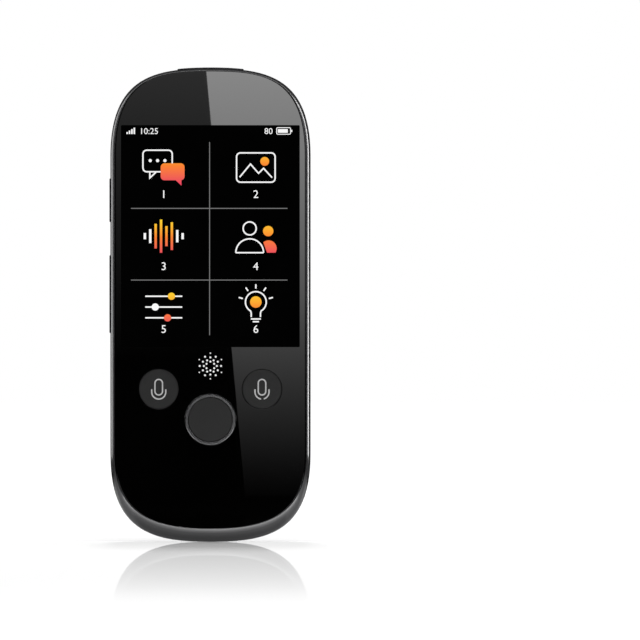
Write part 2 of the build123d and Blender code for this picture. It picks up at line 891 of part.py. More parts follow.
with BuildPart() as side_key_switches:
    with BuildSketch(Plane.YZ.offset(bracket_x)):
        with Locations((side_line, side_key_z)):
            Rectangle(side_switch_width, side_switch_length)
    extrude(amount=side_switch_x - bracket_x)
    with BuildSketch(Plane.YZ.offset(bracket_x)):
        with Locations(*rocker_switch_seats):
            Rectangle(side_switch_width, side_switch_length)
    extrude(amount=rocker_switch_x - bracket_x)
    with BuildSketch(Plane.YZ.offset(bracket_x - switch_floor)):
        with Locations((side_line, side_key_z), *rocker_switch_seats):
            Circle(side_plunger_diameter / 2 + plunger_gap)
    extrude(amount=-side_switch_depth * 2, mode=Mode.SUBTRACT)
side_key_switches.part.label = "side_key_switches"
export_step(side_key_switches.part, "parts/side_key_switches.step")

with BuildPart() as side_switch_bracket:
    bracket_low = rocker_z - rocker_length / 2 - side_flange_overhang
    bracket_high = side_key_z + side_key_length / 2 + side_flange_overhang
    with BuildSketch(Plane.YZ.offset(bracket_x)):
        with Locations((plate_back, bracket_low)):
            Rectangle(
                key_back_y - plate_back,
                bracket_high - bracket_low,
                align=(Align.MIN, Align.MIN),
            )
    extrude(amount=bracket_thickness)
    # rounded fulcrum that the rocker tilts on
    with BuildSketch(level(key_back_y)):
        with BuildLine():
            tip_x = rocker_flange_x + slide_gap
            Polyline(
                (tip_x + fulcrum_size / 2, rocker_z - fulcrum_size / 2),
                (bracket_x, rocker_z - fulcrum_size / 2),
                (bracket_x, rocker_z + fulcrum_size / 2),
                (tip_x + fulcrum_size / 2, rocker_z + fulcrum_size / 2),
            )
            ThreePointArc(
                (tip_x + fulcrum_size / 2, rocker_z + fulcrum_size / 2),
                (tip_x, rocker_z),
                (tip_x + fulcrum_size / 2, rocker_z - fulcrum_size / 2),
            )
        make_face()
    extrude(amount=side_key_width)
side_switch_bracket.part.label = "side_switch_bracket"
export_step(side_switch_bracket.part, "parts/side_switch_bracket.step")

# ---- Card tray: door in the wall, frame behind it with one pocket for each card ----
door_outer = half_width - door_recess
door_inner = inner_half - door_back
tray_pockets = (memory_card_size, sim_card_size)
pocket_centres = []
pocket_edge = door_inner - tray_rim
for card in tray_pockets:
    pocket_length = card[0] + 2 * card_gap
    pocket_centres.append(pocket_edge - pocket_length / 2)
    pocket_edge -= pocket_length + tray_rim
tray_end = pocket_edge
card_front = tray_front + tray_floor

with BuildPart() as card_tray:
    with BuildSketch(Plane.YZ.offset(door_inner)):
        with Locations((tray_line, tray_z)):
            RectangleRounded(door_width, door_length, side_key_corner)
    extrude(amount=door_outer - door_inner)
    with BuildSketch(level(tray_back)):
        with Locations((door_inner, tray_z)):
            Rectangle(door_inner - tray_end, tray_width, align=(Align.MAX, Align.CENTER))
    extrude(amount=tray_thickness)
    # pockets from behind, each with a ledge left under the card
    for centre, card in zip(pocket_centres, tray_pockets):
        with BuildSketch(level(tray_back)):
            with Locations((centre, tray_z)):
                Rectangle(card[0] + 2 * card_gap, card[1] + 2 * card_gap)
        extrude(amount=tray_thickness - tray_floor, mode=Mode.SUBTRACT)
        with BuildSketch(level(tray_back)):
            with Locations((centre, tray_z)):
                Rectangle(card[0] - 2 * tray_ledge, card[1] - 2 * tray_ledge)
        extrude(amount=tray_thickness, mode=Mode.SUBTRACT)
    # nail notch along the rear edge of the door
    with BuildSketch(Plane.XY.offset(tray_z - door_length / 8)):
        with Locations((door_outer, tray_line + door_width / 2)):
            Circle(door_width / 4)
    extrude(amount=door_length / 4, mode=Mode.SUBTRACT)
card_tray.part.label = "card_tray"
export_step(card_tray.part, "parts/card_tray.step")


def card_part(centre, card, cut):
    """Flat card in its pocket, with its corner cut off."""
    with BuildPart() as body:
        with BuildSketch(level(card_front + card[2])):
            with Locations((centre, tray_z)):
                RectangleRounded(card[0], card[1], 0.7)
            with Locations((centre - card[0] / 2, tray_z + card[1] / 2)):
                Rectangle(cut * sqrt(2), cut * sqrt(2), rotation=45, mode=Mode.SUBTRACT)
        extrude(amount=card[2])
    return body.part


memory_card = card_part(pocket_centres[0], memory_card_size, 1.6)
memory_card.label = "memory_card"
export_step(memory_card, "parts/memory_card.step")

sim_card = card_part(pocket_centres[1], sim_card_size, 1.5)
sim_card.label = "sim_card"
export_step(sim_card, "parts/sim_card.step")

# ---- Card connector on the main board: base, contacts and sheet metal cage ----
connector_outer = door_inner - door_to_connector
connector_inner = tray_end - tray_end_play
connector_length = connector_outer - connector_inner
connector_width = tray_width + 2 * cage_gap + 2 * cage_sheet
base_back = tray_front - card_run_gap
cage_back = tray_back + card_run_gap + cage_sheet

with BuildPart() as card_connector_base:
    with BuildSketch(level(base_back)):
        with Locations((connector_outer, tray_z)):
            Rectangle(connector_length, connector_width, align=(Align.MAX, Align.CENTER))
        with Locations((pocket_centres[0], tray_z)):
            Rectangle(memory_card_size[0] / 2, memory_card_size[1] / 2, mode=Mode.SUBTRACT)
        with Locations((pocket_centres[1], tray_z)):
            Rectangle(sim_card_size[0] / 3, sim_card_size[1] / 3, mode=Mode.SUBTRACT)
    extrude(amount=base_back - board_back)
card_connector_base.part.label = "card_connector_base"
export_step(card_connector_base.part, "parts/card_connector_base.step")

with BuildPart() as card_contacts:
    with BuildSketch(level(base_back + contact_height)):
        with Locations((pocket_centres[0] - memory_card_size[0] / 3, tray_z)):
            with GridLocations(1, memory_contact_pitch, 1, 8):
                Rectangle(memory_contact[0], memory_contact[1])
        with Locations((pocket_centres[1] - sim_card_size[0] / 3, tray_z)):
            with GridLocations(1, sim_contact_pitch, 1, 3):
                Rectangle(sim_contact[0], sim_contact[1])
        with Locations((pocket_centres[1] + sim_card_size[0] / 3, tray_z)):
            with GridLocations(1, sim_contact_pitch, 1, 3):
                Rectangle(sim_contact[0], sim_contact[1])
    extrude(amount=contact_height)
card_contacts.part.label = "card_contacts"
export_step(card_contacts.part, "parts/card_contacts.step")

with BuildPart() as card_connector_cage:
    with BuildSketch(level(cage_back)):
        with Locations((connector_outer, tray_z)):
            Rectangle(connector_length, connector_width, align=(Align.MAX, Align.CENTER))
    extrude(amount=cage_back - base_back)
    with BuildSketch(level(cage_back - cage_sheet)):
        with Locations((connector_outer + 1, tray_z)):
            Rectangle(
                connector_length - cage_sheet + 1,
                connector_width - 2 * cage_sheet,
                align=(Align.MAX, Align.CENTER),
            )
    extrude(amount=cage_back - cage_sheet - base_back + 1, mode=Mode.SUBTRACT)
    with BuildSketch(level(cage_back + 1)):
        with Locations((pocket_centres[0], tray_z), (pocket_centres[1], tray_z)):
            SlotOverall(memory_card_size[1] / 2, 2.0, rotation=90)
    extrude(amount=1 + cage_sheet, mode=Mode.SUBTRACT)
card_connector_cage.part.label = "card_connector_cage"
export_step(card_connector_cage.part, "parts/card_connector_cage.step")

# ---- Main board with its shields and chips ----
switch_tab_top = top_switch_z - side_switch_depth

with BuildPart() as main_board:
    with BuildSketch(level(board_back)):
        with Locations((0, board_low)):
            Rectangle(2 * board_half_width, board_high - board_low, align=(Align.CENTER, Align.MIN))
        add(body_face(board_inset), mode=Mode.INTERSECT)
        with Locations((0, switch_tab_top)):
            Rectangle(
                side_switch_length + 1,
                switch_tab_top - board_high + 2,
                align=(Align.CENTER, Align.MAX),
            )
        with Locations((-crown_boss_x, crown_boss_z), (crown_boss_x, crown_boss_z)):
            Circle(boss_diameter / 2 + 4 * fit_gap, mode=Mode.SUBTRACT)
        with Locations((0, (flex_slot_low + flex_slot_high) / 2)):
            SlotOverall(2 * flex_half_width + 2, flex_slot_high - flex_slot_low, mode=Mode.SUBTRACT)
    extrude(amount=board_thickness)
main_board.part.label = "main_board"
export_step(main_board.part, "parts/main_board.step")

shield_left = -(board_half_width - shield_from_edge)
shield_top = board_back + shield_height
processor_right = connector_inner - processor_to_connector
processor_low = board_low + processor_rise
processor_x = (shield_left + processor_right) / 2
processor_z = processor_low + processor_shield_length / 2
processor_width = processor_right - shield_left
radio_right = -(camera_base / 2 + radio_to_camera)
radio_low = processor_low + processor_shield_length + radio_rise
radio_x = (shield_left + radio_right) / 2
radio_z = radio_low + radio_shield_length / 2
radio_width = radio_right - shield_left


def shield_part(x, z, width, length):
    """Sheet metal lid over a group of chips, open towards the board."""
    with BuildPart() as shield:
        with BuildSketch(level(shield_top)):
            with Locations((x, z)):
                RectangleRounded(width, length, shield_corner)
        extrude(amount=shield_height)
        with BuildSketch(level(shield_top - cage_sheet)):
            with Locations((x, z)):
                Rectangle(width - 2 * cage_sheet, length - 2 * cage_sheet)
        extrude(amount=shield_height, mode=Mode.SUBTRACT)
    return shield.part


processor_shield = shield_part(processor_x, processor_z, processor_width, processor_shield_length)
processor_shield.label = "processor_shield"
export_step(processor_shield, "parts/processor_shield.step")

radio_shield = shield_part(radio_x, radio_z, radio_width, radio_shield_length)
radio_shield.label = "radio_shield"
export_step(radio_shield, "parts/radio_shield.step")

with BuildPart() as board_chips:
    with BuildSketch(level(board_back + chip_height)):
        with Locations((camera_base / 2 + chip_to_camera + memory_chip / 2, camera_z - memory_chip_drop)):
            Rectangle(memory_chip, memory_chip)
        power_chip_x = -(board_half_width - power_chip_from_edge - power_chip[0] / 2)
        with Locations((power_chip_x, camera_z + chip_row_rise)):
            Rectangle(power_chip[0], power_chip[1])
        with Locations((processor_x, processor_z)):
            Rectangle(processor_width - 2 * shield_to_chip, processor_shield_length - 2 * shield_to_chip)
        with Locations((radio_x, radio_z)):
            Rectangle(radio_width - 2 * shield_to_chip, radio_shield_length - 2 * shield_to_chip)
    extrude(amount=chip_height)
    with BuildSketch(level(board_back + small_part[2])):
        with Locations((board_half_width - small_parts_from_edge, camera_z + chip_row_rise)):
            with GridLocations(small_part_pitch[0], small_part_pitch[1], 3, 4):
                Rectangle(small_part[0], small_part[1])
    extrude(amount=small_part[2])
board_chips.part.label = "board_chips"
export_step(board_chips.part, "parts/board_chips.step")

# ---- Flexible circuits ----
with BuildPart() as display_flex:
    with BuildSketch(Plane.YZ.offset(-flex_half_width)):
        with BuildLine():
            FilletPolyline(
                (ledge_front + display_glass / 2, display_high),
                (ledge_front + display_glass / 2, (flex_slot_low + flex_slot_high) / 2),
                (board_back + flex_thickness / 2, (flex_slot_low + flex_slot_high) / 2),
                (board_back + flex_thickness / 2, display_high - flex_tail),
                radius=0.4,
            )
        trace(line_width=flex_thickness)
    extrude(amount=2 * flex_half_width)
display_flex.part.label = "display_flex"
export_step(display_flex.part, "parts/display_flex.step")

strip_x = battery_half_width + strip_gap
strip_y = port_back - flex_thickness / 2

with BuildPart() as interconnect_flex:
    with BuildSketch(Plane.YZ.offset(-strip_x - strip_width)):
        with BuildLine():
            FilletPolyline(
                (board_back + flex_thickness / 2, board_low + 4.0),
                (board_back + flex_thickness / 2, sub_board_high + 3.0),
                (strip_y, sub_board_high + 1.0),
                (strip_y, sub_board_high - 1.6),
                radius=1.0,
            )
        trace(line_width=flex_thickness)
    extrude(amount=strip_width)
interconnect_flex.part.label = "interconnect_flex"
export_step(interconnect_flex.part, "parts/interconnect_flex.step")

# ---- Battery: soft pouch, its protection strip, its tail and the foam behind it ----
battery_front = plate_back + board_gap
battery_back = cover_inside - battery_foam_thickness
battery_thickness = battery_back - battery_front
cap_high = battery_high + battery_cap_height

with BuildPart() as battery_cell:
    with BuildSketch(level(battery_back)):
        with Locations((0, (battery_low + battery_high) / 2)):
            RectangleRounded(2 * battery_half_width, battery_high - battery_low, battery_round)
    extrude(amount=battery_thickness)
    fillet(battery_cell.faces().sort_by(Axis.Y)[0].edges(), radius=battery_round)
    fillet(battery_cell.faces().sort_by(Axis.Y)[-1].edges(), radius=battery_round)
battery_cell.part.label = "battery_cell"
export_step(battery_cell.part, "parts/battery_cell.step")

with BuildPart() as battery_cap:
    with BuildSketch(level(battery_back - battery_round)):
        with Locations((0, battery_high)):
            Rectangle(
                2 * (battery_half_width - battery_round),
                battery_cap_height,
                align=(Align.CENTER, Align.MIN),
            )
    extrude(amount=battery_thickness - 2 * battery_round)
battery_cap.part.label = "battery_cap"
export_step(battery_cap.part, "parts/battery_cap.step")

with BuildPart() as battery_tail:
    with BuildSketch(level(board_back + flex_thickness)):
        with Locations((-(battery_half_width - tail_from_side), cap_high)):
            Rectangle(
                tail_width,
                board_low - cap_high + tail_overlap,
                align=(Align.CENTER, Align.MIN),
            )
    extrude(amount=flex_thickness)
battery_tail.part.label = "battery_tail"
export_step(battery_tail.part, "parts/battery_tail.step")

with BuildPart() as battery_foam:
    with BuildSketch(level(cover_inside)):
        with Locations((0, (battery_low + battery_high) / 2)):
            RectangleRounded(
                2 * (battery_half_width - foam_from_side),
                battery_high - battery_low - 2 * foam_from_end,
                battery_round,
            )
    extrude(amount=battery_foam_thickness)
battery_foam.part.label = "battery_foam"
export_step(battery_foam.part, "parts/battery_foam.step")

# ---- Lower board with the charging port and the microphones ----
post_seats = ((-post_x, post_z), (post_x, post_z))

with BuildPart() as sub_board:
    with BuildSketch(level(sub_board_back)):
        with Locations((0, sub_board_low)):
            Rectangle(body_width, sub_board_high - sub_board_low, align=(Align.CENTER, Align.MIN))
        add(body_face(sub_board_inset), mode=Mode.INTERSECT)
        with Locations(*post_seats):
            Circle(screw_diameter / 2 + fit_gap, mode=Mode.SUBTRACT)
    extrude(amount=sub_board_thickness)
sub_board.part.label = "sub_board"
export_step(sub_board.part, "parts/sub_board.step")

with BuildPart() as sub_board_posts:
    with BuildSketch(level(port_back)):
        with Locations(*post_seats):
            Circle(post_diameter / 2)
            Circle(screw_diameter / 2, mode=Mode.SUBTRACT)
    extrude(amount=port_back - plate_back)
sub_board_posts.part.label = "sub_board_posts"
export_step(sub_board_posts.part, "parts/sub_board_posts.step")

with BuildPart() as sub_board_screws:
    with BuildSketch(level(sub_board_back)):
        with Locations(*post_seats):
            Circle(screw_head / 2)
    extrude(amount=-screw_head_height)
    with BuildSketch(level(sub_board_back)):
        with Locations(*post_seats):
            Circle(screw_diameter / 2)
    extrude(amount=screw_length)
sub_board_screws.part.label = "sub_board_screws"
export_step(sub_board_screws.part, "parts/sub_board_screws.step")

with BuildPart() as port_shell:
    with BuildSketch(Plane.XY.offset(port_recess)):
        with Locations((0, side_line)):
            SlotOverall(port_shell_width, port_shell_height)
            SlotOverall(
                port_shell_width - 2 * port_shell_sheet,
                port_shell_height - 2 * port_shell_sheet,
                mode=Mode.SUBTRACT,
            )
    extrude(amount=port_shell_length)
port_shell.part.label = "port_shell"
export_step(port_shell.part, "parts/port_shell.step")

with BuildPart() as port_insert:
    with BuildSketch(Plane.XY.offset(port_recess + port_shell_length)):
        with Locations((0, side_line)):
            SlotOverall(
                port_shell_width - 2 * port_shell_sheet,
                port_shell_height - 2 * port_shell_sheet,
            )
    extrude(amount=-port_shell_length / 6)
    with BuildSketch(Plane.XY.offset(port_recess + port_shell_length)):
        with Locations((0, side_line)):
            RectangleRounded(port_tongue_width, port_tongue_thickness, 0.2)
    extrude(amount=-(port_shell_length - 0.7))
port_insert.part.label = "port_insert"
export_step(port_insert.part, "parts/port_insert.step")

with BuildPart() as microphones:
    with BuildSketch(level(port_back)):
        with Locations((-microphone_x, microphone_low), (microphone_x, microphone_low)):
            Rectangle(
                microphone_size[0],
                microphone_size[2],
                align=(Align.CENTER, Align.MIN),
            )
    extrude(amount=microphone_size[1])
microphones.part.label = "microphones"
export_step(microphones.part, "parts/microphones.step")

# ---- Loudspeaker: sealed box, driver, cone, gasket and dust mesh ----
speaker_middle = speaker_box_low + speaker_box_height / 2
gasket_back = cover_inside
box_back = gasket_back - gasket_thickness
box_front = box_back - speaker_box_depth
opening_width = 2 * (speaker_box_half_width - speaker_wall)
opening_height = speaker_box_height - 2 * speaker_wall

with BuildPart() as speaker_box:
    with BuildSketch(level(box_back)):
        with Locations((0, speaker_middle)):
            RectangleRounded(2 * speaker_box_half_width, speaker_box_height, speaker_box_corner)
    extrude(amount=speaker_box_depth)
    with BuildSketch(level(box_back)):
        with Locations((0, speaker_middle)):
            RectangleRounded(opening_width, opening_height, speaker_box_corner - speaker_wall)
    extrude(amount=speaker_box_depth - speaker_wall, mode=Mode.SUBTRACT)
speaker_box.part.label = "speaker_box"
export_step(speaker_box.part, "parts/speaker_box.step")

with BuildPart() as speaker_driver:
    with BuildSketch(level(box_back - 0.5)):
        with Locations((0, speaker_middle)):
            SlotOverall(driver_length, driver_height)
    extrude(amount=speaker_box_depth - speaker_wall - 0.5)
    with BuildSketch(level(box_back - 0.5)):
        with Locations((0, speaker_middle)):
            SlotOverall(driver_length - 1.6, driver_height - 1.6)
    extrude(amount=0.8, mode=Mode.SUBTRACT)
speaker_driver.part.label = "speaker_driver"
export_step(speaker_driver.part, "parts/speaker_driver.step")

with BuildPart() as speaker_cone:
    with BuildSketch(level(box_back - 1.3)):
        with Locations((0, speaker_middle)):
            SlotOverall(driver_length - 1.8, driver_height - 1.8)
    extrude(amount=-0.3)
    with BuildSketch(level(box_back - 1.0)):
        with Locations((0, speaker_middle)):
            SlotOverall(driver_length - 6.0, driver_height - 6.0)
    extrude(amount=-0.4, taper=30)
speaker_cone.part.label = "speaker_cone"
export_step(speaker_cone.part, "parts/speaker_cone.step")

with BuildPart() as speaker_gasket:
    with BuildSketch(level(gasket_back)):
        with Locations((0, speaker_middle)):
            RectangleRounded(2 * speaker_box_half_width, speaker_box_height, speaker_box_corner)
            RectangleRounded(
                opening_width,
                opening_height,
                speaker_box_corner - speaker_wall,
                mode=Mode.SUBTRACT,
            )
    extrude(amount=gasket_thickness)
speaker_gasket.part.label = "speaker_gasket"
export_step(speaker_gasket.part, "parts/speaker_gasket.step")

with BuildPart() as speaker_mesh:
    with BuildSketch(level(cover_inside)):
        with Locations((0, speaker_middle)):
            RectangleRounded(
                opening_width - 2 * fit_gap,
                opening_height - 2 * fit_gap,
                speaker_box_corner - speaker_wall - fit_gap,
            )
    extrude(amount=mesh_thickness)
speaker_mesh.part.label = "speaker_mesh"
export_step(speaker_mesh.part, "parts/speaker_mesh.step")

# ---- Camera: trim ring, window, module and lens ----
trim_back = cover_inside + trim_seat
trim_front = back_y - trim_recess
window_back = trim_front - window_recess - window_thickness

with BuildPart() as camera_trim:
    with BuildSketch(level(trim_front)):
        with Locations((0, camera_z)):
            Circle(trim_diameter / 2)
    extrude(amount=trim_front - trim_back)
    chamfer(camera_trim.faces().sort_by(Axis.Y)[-1].edges(), length=0.08)
    with BuildSketch(level(trim_front)):
        with Locations((0, camera_z)):
            Circle(window_diameter / 2 + fit_gap)
    extrude(amount=trim_front - window_back, mode=Mode.SUBTRACT)
    with BuildSketch(level(trim_front)):
        with Locations((0, camera_z)):
            Circle(window_diameter / 2 - 0.4)
    extrude(amount=trim_front - trim_back, mode=Mode.SUBTRACT)
camera_trim.part.label = "camera_trim"
export_step(camera_trim.part, "parts/camera_trim.step")

with BuildPart() as camera_window:
    with BuildSketch(level(window_back + window_thickness)):
        with Locations((0, camera_z)):
            Circle(window_diameter / 2)
    extrude(amount=window_thickness)
camera_window.part.label = "camera_window"
export_step(camera_window.part, "parts/camera_window.step")

barrel_top = window_back - lens_clearance
base_top = barrel_top - barrel_height

with BuildPart() as camera_module:
    with BuildSketch(level(base_top)):
        with Locations((0, camera_z)):
            RectangleRounded(camera_base, camera_base, 0.6)
    extrude(amount=base_top - board_back)
    with BuildSketch(level(barrel_top)):
        with Locations((0, camera_z)):
            Circle(barrel_diameter / 2)
    extrude(amount=barrel_height)
    with BuildSketch(level(barrel_top)):
        with Locations((0, camera_z)):
            Circle(lens_diameter / 2 + fit_gap)
    extrude(amount=lens_height, mode=Mode.SUBTRACT)
camera_module.part.label = "camera_module"
export_step(camera_module.part, "parts/camera_module.step")

lens_sag = 0.5
lens_radius = ((lens_diameter / 2) ** 2 + lens_sag**2) / (2 * lens_sag)

with BuildPart() as camera_lens:
    with BuildSketch(Plane.YZ):
        with BuildLine():
            lens_base = barrel_top - lens_height
            lens_rim = barrel_top - lens_sag
            Polyline(
                (lens_base, camera_z),
                (lens_base, camera_z + lens_diameter / 2),
                (lens_rim, camera_z + lens_diameter / 2),
            )
            RadiusArc(
                (lens_rim, camera_z + lens_diameter / 2),
                (lens_rim + lens_sag, camera_z),
                lens_radius,
            )
            Line((lens_rim + lens_sag, camera_z), (lens_base, camera_z))
        make_face()
    revolve(axis=Axis((0, 0, camera_z), (0, 1, 0)))
camera_lens.part.label = "camera_lens"
export_step(camera_lens.part, "parts/camera_lens.step")
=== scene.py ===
import math

import bmesh
import bpy
from mathutils import Matrix, Vector


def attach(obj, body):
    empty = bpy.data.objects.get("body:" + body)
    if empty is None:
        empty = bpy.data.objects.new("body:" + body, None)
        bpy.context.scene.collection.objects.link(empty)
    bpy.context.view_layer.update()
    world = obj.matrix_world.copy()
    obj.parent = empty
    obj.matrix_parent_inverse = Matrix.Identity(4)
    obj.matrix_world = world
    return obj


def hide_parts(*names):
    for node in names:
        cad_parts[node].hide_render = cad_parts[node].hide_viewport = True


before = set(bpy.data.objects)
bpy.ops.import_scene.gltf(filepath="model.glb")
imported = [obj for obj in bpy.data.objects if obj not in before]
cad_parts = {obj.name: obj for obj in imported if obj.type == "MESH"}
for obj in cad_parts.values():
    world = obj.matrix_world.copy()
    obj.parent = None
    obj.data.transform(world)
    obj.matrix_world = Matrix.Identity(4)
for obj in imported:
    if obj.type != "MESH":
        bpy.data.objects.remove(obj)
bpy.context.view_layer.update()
scene = bpy.context.scene

# ---- Studio ----
# The translator stands upright on a pale glossy table, seen square on through a long lens.
# A white board stands far behind it, and soft boxes stand at its sides and above it.
glass_front = -0.0065  # face of the cover glass
reach = 3.0  # from the lens to that face
view_width = 0.16608  # at that face
view_x, view_z = 28.449, 57.635  # middle of the view (mm)
film_width = 36.0  # mm
camera_data = bpy.data.cameras.new("long_lens")
camera_data.sensor_width = film_width
camera_data.lens = film_width * reach / view_width
camera_data.clip_start = 0.05
camera_data.clip_end = 60.0
camera = bpy.data.objects.new("long_lens", camera_data)
camera.location = (view_x / 1000, glass_front - reach, view_z / 1000)
camera.rotation_euler = (math.radians(90), 0.0, 0.0)
scene.collection.objects.link(camera)
scene.camera = camera
scene.view_settings.view_transform = "Standard"


def board(name, corners):
    """A flat board of the studio from its four corners."""
    mesh = bpy.data.meshes.new(name)
    mesh.from_pydata(corners, [], [tuple(range(len(corners)))])
    item = bpy.data.objects.new(name, mesh)
    scene.collection.objects.link(item)
    return item


def lamp_paint(name):
    """A plain glowing paint: its material, its tree and its glow."""
    paint = bpy.data.materials.new(name)
    paint.use_nodes = True
    tree = paint.node_tree
    tree.nodes.remove(tree.nodes["Principled BSDF"])
    glow = tree.nodes.new("ShaderNodeEmission")
    tree.links.new(glow.outputs[0], tree.nodes["Material Output"].inputs["Surface"])
    return paint, tree, glow


def seen_by_shine_only(item):
    """Keeps a board out of the picture and off the lighting: only reflections show it."""
    item.visible_camera = False
    item.visible_diffuse = False
    item.visible_transmission = False
    item.visible_shadow = False
    item.visible_volume_scatter = False


def maths(tree, how, *values):
    """One step of arithmetic on values or sockets."""
    step = tree.nodes.new("ShaderNodeMath")
    step.operation = how
    for socket, value in zip(step.inputs, values):
        if isinstance(value, (int, float)):
            socket.default_value = value
        else:
            tree.links.new(value, socket)
    return step.outputs[0]


def stretch(tree, value, low, high, to_low, to_high, way="LINEAR"):
    """Moves a value from one range to another, held at its ends."""
    step = tree.nodes.new("ShaderNodeMapRange")
    step.interpolation_type = way
    for name, amount in (("From Min", low), ("From Max", high), ("To Min", to_low), ("To Max", to_high)):
        step.inputs[name].default_value = amount
    tree.links.new(value, step.inputs["Value"])
    return step.outputs[0]


def curved(tree, value, last, stops):
    """Leads a value of 0 to 1 along a curve that climbs from 0 to last through the stops."""
    step = tree.nodes.new("ShaderNodeFloatCurve")
    step.mapping.clip_min_y = 0
    points = step.mapping.curves[0].points
    points[0].location = (0.0, 0.0)
    points[1].location = (1.0, last)
    for where, amount in stops:
        points.new(where, amount)
    step.mapping.update()
    tree.links.new(value, step.inputs["Value"])
    return step.outputs[0]


def axes(tree, vector):
    """The X, Y and Z of a vector."""
    parts = tree.nodes.new("ShaderNodeSeparateXYZ")
    tree.links.new(vector, parts.inputs[0])
    return parts.outputs["X"], parts.outputs["Y"], parts.outputs["Z"]


def size_of(tree, vector):
    """The length of a vector."""
    step = tree.nodes.new("ShaderNodeVectorMath")
    step.operation = "LENGTH"
    tree.links.new(vector, step.inputs[0])
    return step.outputs["Value"]


def mixed(tree, share, first, second):
    """Two shaders, with the given share of the second."""
    step = tree.nodes.new("ShaderNodeMixShader")
    for socket, source in zip(step.inputs, (share, first, second)):
        tree.links.new(source, socket)
    return step.outputs[0]


# white table: it keeps the shadow, and only its part near the translator shines back on it
table_side, table_front, table_far = 5, -0.97, 5
table = board("table", [
    (-table_side, table_front, 0), (table_side, table_front, 0),
    (table_side, table_far, 0), (-table_side, table_far, 0),
])
table_paint, tree, glow = lamp_paint("table_lacquer")
rays = tree.nodes.new("ShaderNodeLightPath").outputs
spot = tree.nodes.new("ShaderNodeTexCoord").outputs["Object"]
spot_x, spot_y = axes(tree, spot)[:2]
from_foot = size_of(tree, spot)
level = stretch(tree, from_foot, 0.2, 2.3, 0.25, 0.87, "SMOOTHSTEP")
not_lighting = maths(tree, "SUBTRACT", 1.0, rays["Is Diffuse Ray"])
tree.links.new(maths(tree, "MULTIPLY", level, not_lighting), glow.inputs["Strength"])
matte = tree.nodes.new("ShaderNodeBsdfDiffuse")
matte.inputs["Color"].default_value = (0.6, 0.6, 0.6, 1)
pale = tree.nodes.new("ShaderNodeAddShader")
tree.links.new(glow.outputs[0], pale.inputs[0])
tree.links.new(matte.outputs[0], pale.inputs[1])
nothing = tree.nodes.new("ShaderNodeEmission")
nothing.inputs["Strength"].default_value = 0.0
far = stretch(tree, from_foot, 0.05, 0.15, 0.0, 1.0)
unseen = maths(tree, "MULTIPLY", far, rays["Is Glossy Ray"])
base = mixed(tree, unseen, pale.outputs[0], nothing.outputs[0])

# its lacquer shows the foot of the translator like a mirror, in flat looks along the table:
# in front of the foot it gives out towards the lens, and it has none beside it or behind it
lacquer = tree.nodes.new("ShaderNodeBsdfGlossy")
lacquer.inputs["Roughness"].default_value = 0.0
lacquer.inputs["Color"].default_value = (1, 1, 1, 1)
mirror_reach = 0.69  # in front of the foot
mirror_stops = (0.13, 0.05), (0.29, 0.16), (0.48, 0.26), (0.77, 0.39)
mirror = curved(tree, stretch(tree, spot_y, -mirror_reach, 0.0, 0.0, 1.0), 0.5, mirror_stops)
grazing = tree.nodes.new("ShaderNodeFresnel")
grazing.inputs["IOR"].default_value = 1.5
flat_look = maths(tree, "POWER", maths(tree, "MULTIPLY", grazing.outputs[0], 1.13), 3.0)
beside = stretch(tree, maths(tree, "ABSOLUTE", spot_x), 0.03, 0.045, 1.0, 0.0)
behind = stretch(tree, spot_y, 0.0, 0.02, 1.0, 0.0)
for limit in (flat_look, beside, behind):
    mirror = maths(tree, "MULTIPLY", mirror, limit)
lacquered = mixed(tree, mirror, base, lacquer.outputs[0])
tree.links.new(lacquered, tree.nodes["Material Output"].inputs["Surface"])
table.data.materials.append(table_paint)

back_y, back_left, back_right, back_height = 2, -0.14, 0.12, 0.08
backdrop = board("backdrop", [
    (back_left, back_y, 0), (back_right, back_y, 0),
    (back_right, back_y, back_height), (back_left, back_y, back_height),
])
backdrop.data.materials.append(lamp_paint("backdrop_white")[0])
seen_by_shine_only(backdrop)

# two cards in front, below the lens: the glass shows the slanted edge between them
card_gap = 0.6  # from the glass to the cards
card_side, card_top, card_foot = 28, 126, 12  # all card sizes are as the glass shows them (mm)
slant_top, slant_foot = -1.4, 9.0
brightest_height = 122


def card_point(x, z):
    """Place on a card that the glass shows at x, z (mm) to the lens."""
    share = card_gap / reach
    return (
        (x + (x - view_x) * share) / 1000,
        glass_front - card_gap,
        (z + (z - view_z) * share) / 1000,
    )


def reflected_card(name, corners, dark_height, peak, stops):
    """A glowing card whose light falls off from its top to a height where it is dark."""
    card = board(name, [card_point(x, z) for x, z in corners])
    paint, tree, glow = lamp_paint(name)
    card_z = axes(tree, tree.nodes.new("ShaderNodeTexCoord").outputs["Object"])[2]
    low, high = card_point(0, dark_height)[2], card_point(0, brightest_height)[2]
    fall = curved(tree, stretch(tree, card_z, low, high, 0.0, 1.0), 1.0, stops)
    tree.links.new(maths(tree, "MULTIPLY", fall, peak), glow.inputs["Strength"])
    card.data.materials.append(paint)
    seen_by_shine_only(card)


slant = [(slant_top, card_top), (slant_foot, card_foot)]
bright = [slant[0], (card_side, card_top), (card_side, card_foot), slant[1]]
dim = [(-card_side, card_top), *slant, (-card_side, card_foot)]
reflected_card("bright_card", bright, 10, 6.0, ((0.15, 0.04), (0.36, 0.18), (0.48, 0.33), (0.75, 0.68)))
reflected_card("dim_card", dim, 48, 0.6, ((0.5, 0.35),))

